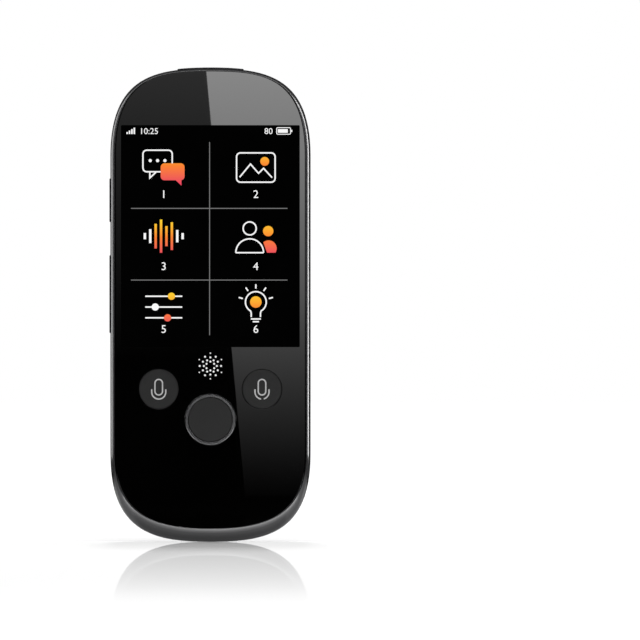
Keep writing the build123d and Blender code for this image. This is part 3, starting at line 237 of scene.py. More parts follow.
sky = bpy.data.worlds.new("studio")
sky.use_nodes = True
scene.world = sky
tree = sky.node_tree
rays = tree.nodes.new("ShaderNodeLightPath").outputs
white_ground = maths(tree, "MAXIMUM", rays["Is Camera Ray"], rays["Is Transmission Ray"])
shine = maths(tree, "MULTIPLY", rays["Is Glossy Ray"], 0.02)
soft = maths(tree, "MULTIPLY", rays["Is Diffuse Ray"], 0.35)
sky_level = maths(tree, "ADD", white_ground, maths(tree, "ADD", shine, soft))
tree.links.new(sky_level, tree.nodes["Background"].inputs["Strength"])
tree.nodes["Background"].inputs["Color"].default_value = (1, 1, 1, 1)

aim = Vector((0, 0, 0.06))  # the middle of the translator


def soft_box(name, where, width, height, power):
    """A rectangular soft box turned to face the translator."""
    data = bpy.data.lights.new(name, "AREA")
    data.shape = "RECTANGLE"
    data.size = width
    data.size_y = height
    data.energy = power
    item = bpy.data.objects.new(name, data)
    item.location = where
    item.rotation_euler = (aim - Vector(where)).to_track_quat("-Z", "Y").to_euler()
    item.visible_camera = False
    scene.collection.objects.link(item)
    return item


strip_height, strip_middle = 0.9, 0.12
soft_box("left_strip", (-0.596, 0.661, strip_middle), 0.32, strip_height, 1.5)
soft_box("right_strip", (0.661, 0.595, strip_middle), 0.16, strip_height, 4.4)
soft_box("left_edge_strip", (-0.825, 0.333, strip_middle), 0.1, strip_height, 0.8)
soft_box("right_edge_strip", (0.825, 0.333, strip_middle), 0.1, strip_height, 2.6)
soft_box("front_box", (0.1, -1.0, 1.3), 1.8, 1.2, 14.0)
rear_box = soft_box("rear_box", (0.0, 0.9, 1.3), 0.16, 0.6, 17.0)
rear_box.visible_glossy = False

# ---- Rear cover ----
# One moulded shell in soft-touch plastic, with the fan of sound holes and the camera bore.
# It snaps into the mid frame, so no screws show.


def tone(red, green, blue):
    """A colour given by its eight-bit display values."""
    def straight(value):
        value /= 255
        return value / 12.92 if value <= 0.04045 else ((value + 0.055) / 1.055) ** 2.4
    return (straight(red), straight(green), straight(blue), 1.0)


def new_finish(name, metal=0.0, rough=0.4):
    """A node material: itself, its tree, its shader and the piece's own coordinates."""
    finish = bpy.data.materials.new(name)
    finish.use_nodes = True
    tree = finish.node_tree
    shader = tree.nodes["Principled BSDF"]
    shader.inputs["Metallic"].default_value = metal
    shader.inputs["Roughness"].default_value = rough
    where = tree.nodes.new("ShaderNodeTexCoord").outputs["Object"]
    return finish, tree, shader, where


def mottle(tree, where, grain, detail=3.0):
    """Noise with patches of about the given size in metres."""
    noise = tree.nodes.new("ShaderNodeTexNoise")
    noise.inputs["Scale"].default_value = 1.0 / grain
    noise.inputs["Detail"].default_value = detail
    tree.links.new(where, noise.inputs["Vector"])
    return noise.outputs["Fac"]


def colour_ramp(tree, source, stops, way="LINEAR"):
    """Colours that follow a value through stops of place and colour."""
    step = tree.nodes.new("ShaderNodeValToRGB")
    step.color_ramp.interpolation = way
    elements = step.color_ramp.elements
    for element, (place, colour) in zip(elements, (stops[0], stops[-1])):
        element.position = place
        element.color = colour
    for place, colour in stops[1:-1]:
        elements.new(place).color = colour
    tree.links.new(source, step.inputs["Fac"])
    return step.outputs["Color"]


def two_tones(tree, shader, source, dark, light):
    """Colour that drifts between two near tones."""
    drift = colour_ramp(tree, source, ((0.3, dark), (0.7, light)))
    tree.links.new(drift, shader.inputs["Base Color"])


def gloss_range(tree, shader, source, low, high):
    """Roughness that drifts between two values."""
    tree.links.new(stretch(tree, source, 0.3, 0.7, low, high), shader.inputs["Roughness"])


def relief(tree, shader, source, depth):
    """Fine relief of the given depth in metres."""
    bump = tree.nodes.new("ShaderNodeBump")
    bump.inputs["Distance"].default_value = depth
    tree.links.new(source, bump.inputs["Height"])
    tree.links.new(bump.outputs["Normal"], shader.inputs["Normal"])


def plain(name, dark, light, rough, metal=0.0, grain=0.004, bump=None):
    """A finish that drifts a little in tone and gloss, with relief by grain and depth if given."""
    finish, tree, shader, where = new_finish(name, metal)
    two_tones(tree, shader, mottle(tree, where, grain), tone(*dark), tone(*light))
    gloss_range(tree, shader, mottle(tree, where, grain * 0.6), *rough)
    if bump:
        relief(tree, shader, mottle(tree, where, bump[0], 2.0), bump[1])
    return finish


def set_shader(finish, name, value):
    """Sets one value of a finish's shader."""
    finish.node_tree.nodes["Principled BSDF"].inputs[name].default_value = value


def dress(finish, *nodes):
    """Gives a finish to pieces that keep their own shape."""
    for node in nodes:
        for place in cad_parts[node].material_slots:
            place.material = finish


soft_touch = plain("soft_touch_charcoal", (34, 35, 35), (38, 38, 39), (0.27, 0.31), grain=0.012)
set_shader(soft_touch, "Specular IOR Level", 1.0)
dress(soft_touch, "rear_cover")

# ---- Mid frame, side keys and card door ----
# A plated band round the body that runs from violet at the crown to blue at the foot.
# Its front lip, and the front of the keys plated with it, stay graphite.
body_height = 0.123
plating_tones = (
    (0.0, tone(22, 62, 112)), (0.34, tone(28, 70, 110)), (0.5, tone(48, 54, 112)),
    (0.64, tone(70, 42, 112)), (0.9, tone(76, 38, 116)), (1.0, tone(104, 70, 138)),
)
plated_band, tree, shader, where = new_finish("plated_violet_to_blue", metal=0.75)
set_shader(plated_band, "Specular Tint", (0.6, 0.6, 0.6, 1))
climb = stretch(tree, axes(tree, where)[2], 0.0, body_height, 0.0, 1.0)
facing_y = axes(tree, tree.nodes.new("ShaderNodeNewGeometry").outputs["Normal"])[1]
lip_share = stretch(tree, facing_y, -0.02, -0.12, 0.0, 1.0)
plated_tone = tree.nodes.new("ShaderNodeMix")
plated_tone.data_type = "RGBA"
tree.links.new(lip_share, plated_tone.inputs["Factor"])
tree.links.new(colour_ramp(tree, climb, plating_tones), plated_tone.inputs[6])
plated_tone.inputs[7].default_value = tone(30, 30, 32)
tree.links.new(plated_tone.outputs[2], shader.inputs["Base Color"])
plated_gloss = tree.nodes.new("ShaderNodeMix")
tree.links.new(lip_share, plated_gloss.inputs["Factor"])
satin = stretch(tree, mottle(tree, where, 0.006), 0.3, 0.7, 0.26, 0.29)
tree.links.new(satin, plated_gloss.inputs[2])
plated_gloss.inputs[3].default_value = 0.08
tree.links.new(plated_gloss.outputs[0], shader.inputs["Roughness"])
dress(plated_band, "mid_frame", "top_key", "side_key", "volume_rocker", "card_tray")

# ---- Front bezel ----
# A rolled ring in plated dark grey, narrow at the sides and crown and deeper at the chin.
# Its grey is painted lighter towards the glass, with a painted highlight at the glass edge, and darker along
# the sides as painted shade. It clips onto the mid frame.
body_half = 26.0  # half of the body's width, and all outline sizes below, in mm
foot_bend, crown_bend = 22.7, 100.3  # heights where the straight sides end
band_ends = 0.54, 0.92  # how full a rounded end is, across and along
glass_foot, glass_crown = (0.56, 0.84), (0.55, 0.94)


def end_quarter(half, start, end, fullness, count):
    """Points of one rounded quarter, from the side to the middle of the crown or foot."""
    across, along = fullness
    corners = (half, start), (half, start + along * (end - start)), (across * half, end), (0.0, end)
    points = []
    for k in range(count + 1):
        t = k / count
        shares = (1 - t) ** 3, 3 * t * (1 - t) ** 2, 3 * t * t * (1 - t), t ** 3
        points.append(tuple(sum(w * c[axis] for w, c in zip(shares, corners)) for axis in (0, 1)))
    return points


def body_loop(side, crown, foot, low, high, count=36, side_steps=12):
    """Outline set in from the body at the side, crown and foot (mm)."""
    half = body_half - side
    upper = end_quarter(half, crown_bend, body_height * 1000 - crown, high, count)
    lower = end_quarter(half, foot_bend, foot, low, count)
    straight = crown_bend - foot_bend
    climb = [(half, foot_bend + straight * k / side_steps) for k in range(1, side_steps)]
    right_half = lower[::-1] + climb + upper
    left_half = [(-x, z) for x, z in right_half[::-1]]
    return right_half + left_half[1:-1]


def between(first, second, share):
    """A pair of values on the way from one pair to another."""
    return tuple(a + (b - a) * share for a, b in zip(first, second))


bezel_rings = (
    # side, crown, foot, depth, share of the glass outline's form
    (1.10, 0.72, 3.47, -4.60, 1.0), (1.10, 0.72, 3.47, -5.60, 1.0), (1.10, 0.72, 3.47, -6.30, 1.0),
    (1.08, 0.70, 3.43, -6.38, 1.0), (1.04, 0.67, 3.34, -6.40, 1.0), (0.97, 0.63, 3.05, -6.34, 0.95),
    (0.86, 0.58, 2.55, -6.22, 0.80), (0.72, 0.53, 1.95, -6.02, 0.60), (0.58, 0.48, 1.40, -5.74, 0.42),
    (0.46, 0.42, 0.95, -5.42, 0.28), (0.36, 0.34, 0.58, -5.08, 0.14), (0.28, 0.27, 0.33, -4.80, 0.04),
    (0.225, 0.225, 0.225, -4.60, 0.0),
)
ring_shape = bmesh.new()
loops = []
for side, crown, foot, depth, share in bezel_rings:
    low = between(band_ends, glass_foot, share)
    high = between(band_ends, glass_crown, share)
    outline = body_loop(side, crown, foot, low, high)
    loops.append([ring_shape.verts.new((x / 1000, depth / 1000, z / 1000)) for x, z in outline])
for k, loop in enumerate(loops):
    following = loops[(k + 1) % len(loops)]
    for m in range(len(loop)):
        n = (m + 1) % len(loop)
        ring_shape.faces.new((loop[m], loop[n], following[n], following[m]))

plated_grey, tree, shader, where = new_finish("plated_dark_grey", metal=0.5)
bezel_x, bezel_y = axes(tree, where)[:2]
# Painted light: the grey is painted lighter towards the glass, up to a painted highlight at its edge, and
# painted darker along the sides as painted shade; the mottle adds only a random drift.
painted_highlight_towards_glass = stretch(tree, bezel_y, -0.0046, -0.0064, 0.0, 1.0)
painted_side_shade = stretch(tree, maths(tree, "ABSOLUTE", bezel_x), 0.0225, 0.0246, 0.0, 0.35)
wander = stretch(tree, mottle(tree, where, 0.02), 0.3, 0.7, -0.02, 0.02)
painted_light_share = maths(tree, "ADD", maths(tree, "SUBTRACT", painted_highlight_towards_glass, painted_side_shade), wander)
bezel_painted_light_greys = (0.0, 80), (0.18, 78), (0.42, 68), (0.66, 74), (0.86, 90), (0.94, 124), (1.0, 168)
bezel_painted_light_tones = [(place, tone(grey, grey, grey + 1)) for place, grey in bezel_painted_light_greys]
tree.links.new(colour_ramp(tree, painted_light_share, bezel_painted_light_tones), shader.inputs["Base Color"])
gloss_range(tree, shader, mottle(tree, where, 0.02), 0.10, 0.12)


def solid_from(name, shape, finish, smooth=None):
    """One closed mesh object in place, with its finish; smooth gives the angle of its edges."""
    bmesh.ops.remove_doubles(shape, verts=shape.verts, dist=1e-7)
    bmesh.ops.recalc_face_normals(shape, faces=shape.faces)
    mesh = bpy.data.meshes.new(name)
    shape.to_mesh(mesh)
    shape.free()
    mesh.materials.append(finish)
    if smooth:
        mesh.polygons.foreach_set("use_smooth", [True] * len(mesh.polygons))
        mesh.set_sharp_from_angle(angle=math.radians(smooth))
    item = bpy.data.objects.new(name, mesh)
    scene.collection.objects.link(item)
    return item


bezel = solid_from("front_bezel_ring", ring_shape, plated_grey, 50)
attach(bezel, "housing")
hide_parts("front_bezel")

# ---- Cover glass ----
# Polished glass printed black on its back, with round openings for the keys and a fine
# rounded edge. It is bonded into the bezel.
glass_inset = 1.42, 0.80, 3.49  # from the body at the side, crown and foot
glass_thickness, glass_edge = 0.9, 0.07
home_height, home_opening = 31.8, 6.66
talk_side, talk_height, talk_opening = 13.4, 39.7, 5.2
black_glass, tree, shader, where = new_finish("black_printed_glass")
print_tones = (0.0004, 0.0004, 0.0004, 1), (0.0007, 0.0007, 0.0007, 1)
two_tones(tree, shader, mottle(tree, where, 0.02), *print_tones)
gloss_range(tree, shader, mottle(tree, where, 0.006), 0.0, 0.012)


def cut_sheet(name, loops, front, back, edge, finish):
    """A sheet with openings, from flat loops in x and z (mm), with a fine round edge."""
    curve = bpy.data.curves.new(name, "CURVE")
    curve.dimensions = "2D"
    curve.fill_mode = "BOTH"
    curve.extrude = (back - front) / 2000 - edge / 1000
    curve.bevel_depth = edge / 1000
    curve.bevel_resolution = 2
    curve.offset = -edge / 1000
    for points in loops:
        spline = curve.splines.new("POLY")
        spline.points.add(len(points) - 1)
        spline.use_cyclic_u = True
        for point, (x, z) in zip(spline.points, points):
            point.co = (x / 1000, z / 1000, 0.0, 1.0)
    item = bpy.data.objects.new(name, curve)
    scene.collection.objects.link(item)
    ready = item.evaluated_get(bpy.context.evaluated_depsgraph_get())
    mesh = bpy.data.meshes.new_from_object(ready)
    middle = Matrix.Translation((0, (front + back) / 2000, 0))
    mesh.transform(middle @ Matrix.Rotation(math.pi / 2, 4, "X"))
    bpy.data.objects.remove(item)
    bpy.data.curves.remove(curve)
    shape = bmesh.new()
    shape.from_mesh(mesh)
    bpy.data.meshes.remove(mesh)
    return solid_from(name, shape, finish)


def circle(x, z, radius, count=96):
    """Points of a circle."""
    turns = [2 * math.pi * k / count for k in range(count)]
    return [(x + radius * math.cos(turn), z + radius * math.sin(turn)) for turn in turns]


glass_loops = [body_loop(*glass_inset, glass_foot, glass_crown)]
glass_loops.append(circle(0, home_height, home_opening))
glass_loops += [circle(x, talk_height, talk_opening) for x in (-talk_side, talk_side)]
face = glass_front * 1000
glass = cut_sheet("front_glass", glass_loops, face, face + glass_thickness, glass_edge, black_glass)
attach(glass, "housing")
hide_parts("cover_glass")

# ---- Keys on the front ----
# Round keys moulded in matte plastic with a fine grain. They stand in the openings of the
# glass, and the middle one sits in a polished metal ring.
key_grain = 0.00015, 0.000003
key_plastic = plain("matte_key_plastic", (33, 33, 33), (36, 36, 36), (0.58, 0.64), bump=key_grain)
dress(key_plastic, "home_key", "left_talk_key", "right_talk_key")
ring_tones = (154, 154, 156), (164, 164, 166)
dress(plain("polished_ring_metal", *ring_tones, (0.18, 0.24), metal=1.0, grain=0.002), "home_key_ring")

# ---- Screen ----
# The lit panel behind the glass, drawn as a thin matte face on it: black ground, pictures in
# white line with warm fills, plain digits and thin rules.
# sizes across the screen are in mm, and depths in metres
screen_middle, screen_width, screen_height, screen_corner = 79.4, 46.4, 57.6, 0.3
ground_front, ground_back = glass_front - 0.000012, glass_front + 0.00001
line_front, line_back = glass_front - 0.00003, glass_front - 0.000006
fill_front = line_front - 0.000006
line_width, rule_width = 0.36, 0.22
sharp_limit = 0.35  # keeps the mitre of a sharp turn short


def prism(shape, outline, front, back):
    """A flat solid from its outline in x and z (mm), between two depths."""
    near_ring = [shape.verts.new((x / 1000, front, z / 1000)) for x, z in outline]
    far_ring = [shape.verts.new((x / 1000, back, z / 1000)) for x, z in outline]
    shape.faces.new(near_ring)
    shape.faces.new(far_ring[::-1])
    for k in range(len(outline)):
        m = (k + 1) % len(outline)
        shape.faces.new((near_ring[m], near_ring[k], far_ring[k], far_ring[m]))


def band(shape, points, width, closed=False):
    """A flat line of even width along points in x and z (mm), mitred at its turns."""
    count = len(points)
    sides = []
    for k, (x, z) in enumerate(points):
        before = points[(k - 1) % count] if closed or k else None
        after = points[(k + 1) % count] if closed or k < count - 1 else None
        ways = []
        for start, end in ((before, (x, z)), ((x, z), after)):
            if start and end:
                size = math.dist(start, end)
                ways.append(((end[0] - start[0]) / size, (end[1] - start[1]) / size))
        across_x = -sum(way[1] for way in ways)
        across_z = sum(way[0] for way in ways)
        size = math.hypot(across_x, across_z)
        across_x, across_z = across_x / size, across_z / size
        straightness = across_x * -ways[0][1] + across_z * ways[0][0]
        reach_out = width / 2 / max(sharp_limit, straightness)
        sides.append([
            [shape.verts.new(((x + hand * across_x * reach_out) / 1000, depth,
                              (z + hand * across_z * reach_out) / 1000))
             for depth in (line_front, line_back)]
            for hand in (1, -1)
        ])
    last = count if closed else count - 1
    for k in range(last):
        (a, b), (c, d) = sides[k]
        (e, f), (g, h) = sides[(k + 1) % count]
        for corners in ((a, c, g, e), (b, f, h, d), (a, e, f, b), (c, d, h, g)):
            shape.faces.new(corners)
    if not closed:
        (a, b), (c, d) = sides[0]
        shape.faces.new((a, b, d, c))
        (a, b), (c, d) = sides[-1]
        shape.faces.new((a, c, d, b))


def arc(x, z, radius, first, last, count=24):
    """Points along an arc, in degrees from +x."""
    turns = [math.radians(first + (last - first) * k / count) for k in range(count + 1)]
    return [(x + radius * math.cos(turn), z + radius * math.sin(turn)) for turn in turns]


def round_box(x, z, width, height, corner):
    """Outline of a box with round corners about x, z."""
    outline = []
    for turn, (side, up) in enumerate(((1, 1), (-1, 1), (-1, -1), (1, -1))):
        middle = x + side * (width / 2 - corner), z + up * (height / 2 - corner)
        outline += arc(*middle, corner, 90 * turn, 90 * turn + 90, 6)
    return outline


def disc(x, z, radius):
    """Outline of a small disc."""
    return circle(x, z, radius, 24)


def glowing(name, colour):
    """A matte screen colour that gives its own light: the same four things as new_finish."""
    finish, tree, shader, where = new_finish(name, rough=1.0)
    shader.inputs["Specular IOR Level"].default_value = 0.0
    shader.inputs["Base Color"].default_value = (0.002, 0.002, 0.002, 1)
    shader.inputs["Emission Strength"].default_value = 1.0
    weaker = tuple(0.97 * part for part in colour[:3]) + (1,)
    drift = colour_ramp(tree, mottle(tree, where, 0.004), ((0.0, weaker), (1.0, colour)))
    tree.links.new(drift, shader.inputs["Emission Color"])
    return finish, tree, shader, where


screen_black, tree, shader, where = new_finish("screen_black", rough=1.0)
shader.inputs["Specular IOR Level"].default_value = 0.0
screen_tones = (0.0006, 0.0006, 0.0006, 1), (0.001, 0.001, 0.001, 1)
two_tones(tree, shader, mottle(tree, where, 0.01), *screen_tones)
ground = bmesh.new()
panel = round_box(0, screen_middle, screen_width, screen_height, screen_corner)
prism(ground, panel, ground_front, ground_back)
screen_ground = solid_from("screen_ground", ground, screen_black)

rule_x, rule_foot, rule_top = -0.2, 53.7, 103.8
rule_left, rule_right, rule_heights = -20.6, 20.0, (86.6, 68.0)
grey_rules = bmesh.new()
band(grey_rules, [(rule_x, rule_foot), (rule_x, rule_top)], rule_width)
for height in rule_heights:
    band(grey_rules, [(rule_left, height), (rule_right, height)], rule_width)
screen_rules = solid_from("screen_rules", grey_rules, glowing("screen_grey", tone(120, 120, 120))[0])

white = bmesh.new()
warm = bmesh.new()


def draw(points, closed=False, width=line_width, shape=white):
    """One line of a picture."""
    band(shape, points, width, closed)


def fill(outline, shape=warm):
    """One filled form of a picture."""
    prism(shape, outline, fill_front if shape is warm else line_front, line_back)


def speech_bubbles(x, z):
    """Two speech bubbles, one of them filled."""
    draw(round_box(x - 1.6, z + 1.5, 7.6, 5.6, 1.0), True)
    draw([(x - 3.6, z - 1.3), (x - 3.6, z - 2.9), (x - 1.9, z - 1.3)])
    for k in range(3):
        fill(arc(x - 3.5 + 1.9 * k, z + 1.6, 0.42, 0, 345, 15), white)
    fill(round_box(x + 2.3, z - 1.3, 6.2, 4.4, 1.0))
    fill([(x + 3.0, z - 3.4), (x + 4.6, z - 3.4), (x + 4.6, z - 4.9)])


def hills_and_sun(x, z):
    """A picture with hills and a low sun."""
    hills = (-4.2, -2.5), (-1.4, 0.9), (0.7, -1.5), (2.0, -0.2), (4.2, -2.6)
    draw(round_box(x, z, 10.0, 7.6, 1.0), True)
    draw([(x + side, z + up) for side, up in hills])
    fill(disc(x + 2.3, z + 1.6, 1.15))


def sound_bars(x, z):
    """A row of sound bars, warm in the middle."""
    for k, tall in enumerate((1.6, 3.6, 6.4, 8.6, 5.2, 7.2, 3.2, 1.6)):
        bar_x = x - 4.9 + 1.4 * k
        target = warm if 2 <= k <= 5 else white
        draw([(bar_x, z - tall / 2), (bar_x, z + tall / 2)], width=0.62, shape=target)


def two_people(x, z):
    """Two people, one in line and one filled."""
    draw(disc(x - 1.6, z + 2.2, 1.7), True)
    draw(arc(x - 1.6, z - 4.1, 3.6, 0, 180))
    draw([(x - 5.2, z - 4.1), (x + 2.0, z - 4.1)])
    fill(disc(x + 3.2, z + 1.5, 1.35))
    fill([(x + 2.9, z - 4.1)] + arc(x + 3.3, z - 3.0, 2.1, -31, 130, 14))


def three_sliders(x, z):
    """Three sliders with round knobs."""
    for k, shift in enumerate((2.0, -2.2, 1.0)):
        height = z + 2.8 - 2.8 * k
        draw([(x - 4.8, height), (x + shift - 0.9, height)])
        draw([(x + shift + 0.9, height), (x + 4.8, height)])
        fill(disc(x + shift, height, 0.95), warm if k != 1 else white)


def lamp_with_rays(x, z):
    """A lamp with short rays."""
    neck = (x - 1.2, z - 3.0), (x - 1.2, z - 2.0), (x + 1.2, z - 2.0), (x + 1.2, z - 3.0)
    draw([*neck[:2], *arc(x, z + 0.9, 2.7, 240, -60, 30), *neck[2:]])
    draw([(x - 1.3, z - 3.5), (x + 1.3, z - 3.5)])
    draw([(x - 0.8, z - 4.2), (x + 0.8, z - 4.2)])
    fill(disc(x, z + 0.9, 1.5))
    for degrees in (15, 55, 90, 125, 165):
        turn = math.radians(degrees)
        draw([(x + far * math.cos(turn), z + 0.9 + far * math.sin(turn)) for far in (3.5, 4.6)])


digit_height, clock_height = 2.1, 1.6
capital_share = 0.72  # height of a digit in its letter size


def digits(words, x, z, height, align="CENTER"):
    """Plain digits as flat solids."""
    curve = bpy.data.curves.new("digits", "FONT")
    curve.body = words
    curve.size = height / capital_share / 1000
    curve.align_x = align
    curve.extrude = (line_back - line_front) / 2
    curve.resolution_u = 5
    item = bpy.data.objects.new("digits", curve)
    scene.collection.objects.link(item)
    ready = item.evaluated_get(bpy.context.evaluated_depsgraph_get())
    mesh = bpy.data.meshes.new_from_object(ready)
    place = Matrix.Translation((x / 1000, (line_front + line_back) / 2, z / 1000))
    mesh.transform(place @ Matrix.Rotation(math.pi / 2, 4, "X"))
    white.from_mesh(mesh)
    bpy.data.objects.remove(item)
    bpy.data.meshes.remove(mesh)
    bpy.data.curves.remove(curve)


left_column, right_column = -12.1, 11.8
pictures = (
    # picture, x, z, height of its digit
    (speech_bubbles, left_column, 97.4, 89.3), (hills_and_sun, right_column, 97.2, 89.3),
    (sound_bars, left_column, 79.4, 70.6), (two_people, right_column, 79.2, 70.6),
    (three_sliders, left_column, 61.0, 54.3), (lamp_with_rays, right_column, 61.4, 54.3),
)
for number, (picture, x, z, digit_z) in enumerate(pictures, 1):
    picture(x, z)
    digits(str(number), x, digit_z, digit_height)

# signal steps, clock, charge and battery in the top line
top_line = 105.9
for k in range(4):
    step_x = -21.6 + 0.62 * k
    draw([(step_x, top_line), (step_x, top_line + 0.5 + 0.38 * k)], width=0.4)
digits("10:25", -18.4, top_line, clock_height, "LEFT")
digits("80", 16.2, top_line, clock_height, "RIGHT")
draw(round_box(19.0, top_line + 0.8, 3.6, 1.7, 0.3), True, 0.2)
fill(round_box(18.8, top_line + 0.8, 2.6, 0.95, 0.1), white)
draw([(21.1, top_line + 0.5), (21.1, top_line + 1.1)], width=0.3)
screen_marks = solid_from("screen_marks", white, glowing("screen_white", tone(252, 252, 252))[0])

# the warm fills run from rose to yellow over each row of pictures
fade_height = 0.0093
fade_tones = (0.0, tone(235, 70, 96)), (0.5, tone(252, 130, 50)), (1.0, tone(255, 214, 50))
warm_glow, tree, shader, where = glowing("screen_warm", (1, 1, 1, 1))
rise = maths(tree, "PINGPONG", axes(tree, where)[2], fade_height)
fade = colour_ramp(tree, stretch(tree, rise, 0.0, fade_height, 0.0, 1.0), fade_tones)
tree.links.new(fade, shader.inputs["Emission Color"])
screen_fills = solid_from("screen_fills", warm, warm_glow)
for piece in (screen_ground, screen_rules, screen_marks, screen_fills):
    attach(piece, "housing")

# ---- Status light ----
# Rings of tiny windows left open in the black print, lit from behind through the light guide.
# Every second ring is turned by half a step, and the outermost has smaller windows.
dot_tree = bpy.data.node_groups.new("dot_rings", "GeometryNodeTree")
dot_tree.interface.new_socket("Geometry", in_out="INPUT", socket_type="NodeSocketGeometry")
for name, kind, value in (
    ("Rings", "NodeSocketInt", 5), ("Dots in a ring", "NodeSocketInt", 6),
    ("First radius", "NodeSocketFloat", 0.00114), ("Ring gap", "NodeSocketFloat", 0.000545),
    ("Dot radius", "NodeSocketFloat", 0.00026), ("Height", "NodeSocketFloat", 0.0457),
):
    socket = dot_tree.interface.new_socket(name, in_out="INPUT", socket_type=kind)
    socket.default_value = value
dot_tree.interface.new_socket("Finish", in_out="INPUT", socket_type="NodeSocketMaterial")
dot_tree.interface.new_socket("Geometry", in_out="OUTPUT", socket_type="NodeSocketGeometry")
given = dot_tree.nodes.new("NodeGroupInput").outputs


def step(how, *values):
    """Arithmetic inside the ring tree."""
    return maths(dot_tree, how, *values)


order = dot_tree.nodes.new("GeometryNodeInputIndex").outputs[0]
spokes = given["Dots in a ring"]
ring_number = step("FLOOR", step("DIVIDE", step("ADD", order, 0.5), spokes))
half_turn = step("MULTIPLY", step("MODULO", ring_number, 2.0), 0.5)
steps_round = step("ADD", step("MODULO", order, spokes), half_turn)
turn = step("MULTIPLY", steps_round, step("DIVIDE", 2 * math.pi, spokes))
out = step("ADD", given["First radius"], step("MULTIPLY", given["Ring gap"], ring_number))
dot_place = dot_tree.nodes.new("ShaderNodeCombineXYZ")
dot_tree.links.new(step("MULTIPLY", out, step("SINE", turn)), dot_place.inputs["X"])
dot_place.inputs["Y"].default_value = glass_front - 0.000002
lift = step("ADD", given["Height"], step("MULTIPLY", out, step("COSINE", turn)))
dot_tree.links.new(lift, dot_place.inputs["Z"])
seeds = dot_tree.nodes.new("GeometryNodePoints")
dot_tree.links.new(step("MULTIPLY", given["Rings"], spokes), seeds.inputs["Count"])
dot_tree.links.new(dot_place.outputs[0], seeds.inputs["Position"])
dot = dot_tree.nodes.new("GeometryNodeMeshCylinder")
dot.inputs["Vertices"].default_value = 20
dot.inputs["Depth"].default_value = 0.00002
dot_tree.links.new(given["Dot radius"], dot.inputs["Radius"])
copies = dot_tree.nodes.new("GeometryNodeInstanceOnPoints")
dot_tree.links.new(seeds.outputs[0], copies.inputs["Points"])
dot_tree.links.new(dot.outputs["Mesh"], copies.inputs["Instance"])
copies.inputs["Rotation"].default_value = (math.pi / 2, 0.0, 0.0)
outermost = step("FLOOR", step("DIVIDE", ring_number, 4.0))
dot_tree.links.new(step("SUBTRACT", 1.0, step("MULTIPLY", outermost, 0.3)), copies.inputs["Scale"])
real = dot_tree.nodes.new("GeometryNodeRealizeInstances")
dot_tree.links.new(copies.outputs[0], real.inputs[0])
paint = dot_tree.nodes.new("GeometryNodeSetMaterial")
dot_tree.links.new(real.outputs[0], paint.inputs["Geometry"])
dot_tree.links.new(given["Finish"], paint.inputs["Material"])
dot_tree.links.new(paint.outputs[0], dot_tree.nodes.new("NodeGroupOutput").inputs[0])


def built(name, tree, values):
    """Runs a geometry tree once and keeps its result as a plain mesh object."""
    seed_mesh = bpy.data.meshes.new(name + "_seed")
    maker = bpy.data.objects.new(name + "_maker", seed_mesh)
    scene.collection.objects.link(maker)
    modifier = maker.modifiers.new("build", "NODES")
    modifier.node_group = tree
    for entry in tree.interface.items_tree:
        if entry.in_out == "INPUT" and entry.name in values:
            modifier[entry.identifier] = values[entry.name]
    ready = maker.evaluated_get(bpy.context.evaluated_depsgraph_get())
    mesh = bpy.data.meshes.new_from_object(ready)
    mesh.name = name
    bpy.data.objects.remove(maker)
    bpy.data.meshes.remove(seed_mesh)
    item = bpy.data.objects.new(name, mesh)
    scene.collection.objects.link(item)
    return item


dot_glow = glowing("status_window_light", tone(232, 232, 232))[0]
status_dots = built("status_dots", dot_tree, {"Finish": dot_glow})
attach(status_dots, "housing")

# ---- Marks on the talk keys ----
# A microphone in line, printed in pale grey on each key. The bow on the right key is open
# at its foot.
mark_width = 0.34
capsule_height, capsule_size, capsule_corner = 40.2, (1.96, 4.04), 0.97
bow_height, bow_radius, bow_top = 38.94, 1.82, 39.65
mark_grey = plain("key_mark_grey", (196, 196, 196), (204, 204, 204), (0.5, 0.56), grain=0.001)
for body, x, bow_parts in (
    ("left_talk_key", -talk_side, ((180, 360),)),
    ("right_talk_key", talk_side, ((180, 262), (284, 360))),
):
    mark = bmesh.new()
    band(mark, round_box(x, capsule_height, *capsule_size, capsule_corner), mark_width, True)
    for first, last in bow_parts:
        bow = arc(x, bow_height, bow_radius, first, last, 20)
        if first == 180:
            bow = [(x - bow_radius, bow_top)] + bow
        if last == 360:
            bow = bow + [(x + bow_radius, bow_top)]
        band(mark, bow, mark_width)
    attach(solid_from(body + "_mark", mark, mark_grey), body)

# ---- Display stack and carrier ----
# Laminated panel, steel-backed backlight and a stamped plate, held by screws. Black foam tape
# bonds the glass and pads the battery and the speaker.
panel_glass = plain("display_glass_dark", (14, 15, 18), (20, 21, 25), (0.08, 0.14), grain=0.01)
dress(panel_glass, "display_panel")
tray_tones = (150, 152, 155), (170, 172, 175)
dress(plain("backlight_tray_steel", *tray_tones, (0.3, 0.4), 0.9, 0.006), "backlight_unit")
foam = plain("foam_tape_black", (18, 18, 18), (26, 26, 26), (0.8, 0.9), 0.0, 0.001, (0.0003, 0.00002))
dress(foam, "glass_adhesive", "battery_foam", "speaker_gasket")
steel_tones = (140, 142, 146), (158, 160, 164)
steel = plain("stamped_steel", *steel_tones, (0.32, 0.44), 1.0, 0.003, (0.0002, 0.000003))
dress(steel, "chassis_plate", "card_connector_cage")
black_steel = plain("bracket_black_steel", (16, 16, 17), (22, 22, 23), (0.45, 0.55), 0.3, 0.003)
dress(black_steel, "side_switch_bracket")
tin = plain("shield_tin", (170, 172, 172), (188, 190, 190), (0.26, 0.38), 1.0, 0.005)
dress(tin, "processor_shield", "radio_shield")
zinc = plain("screw_zinc", (110, 110, 116), (134, 134, 140), (0.25, 0.4), 1.0, 0.0008)
dress(zinc, "chassis_screws", "sub_board_screws")
brass = plain("post_brass", (176, 146, 84), (196, 164, 100), (0.24, 0.34), 1.0, 0.001)
dress(brass, "sub_board_posts")
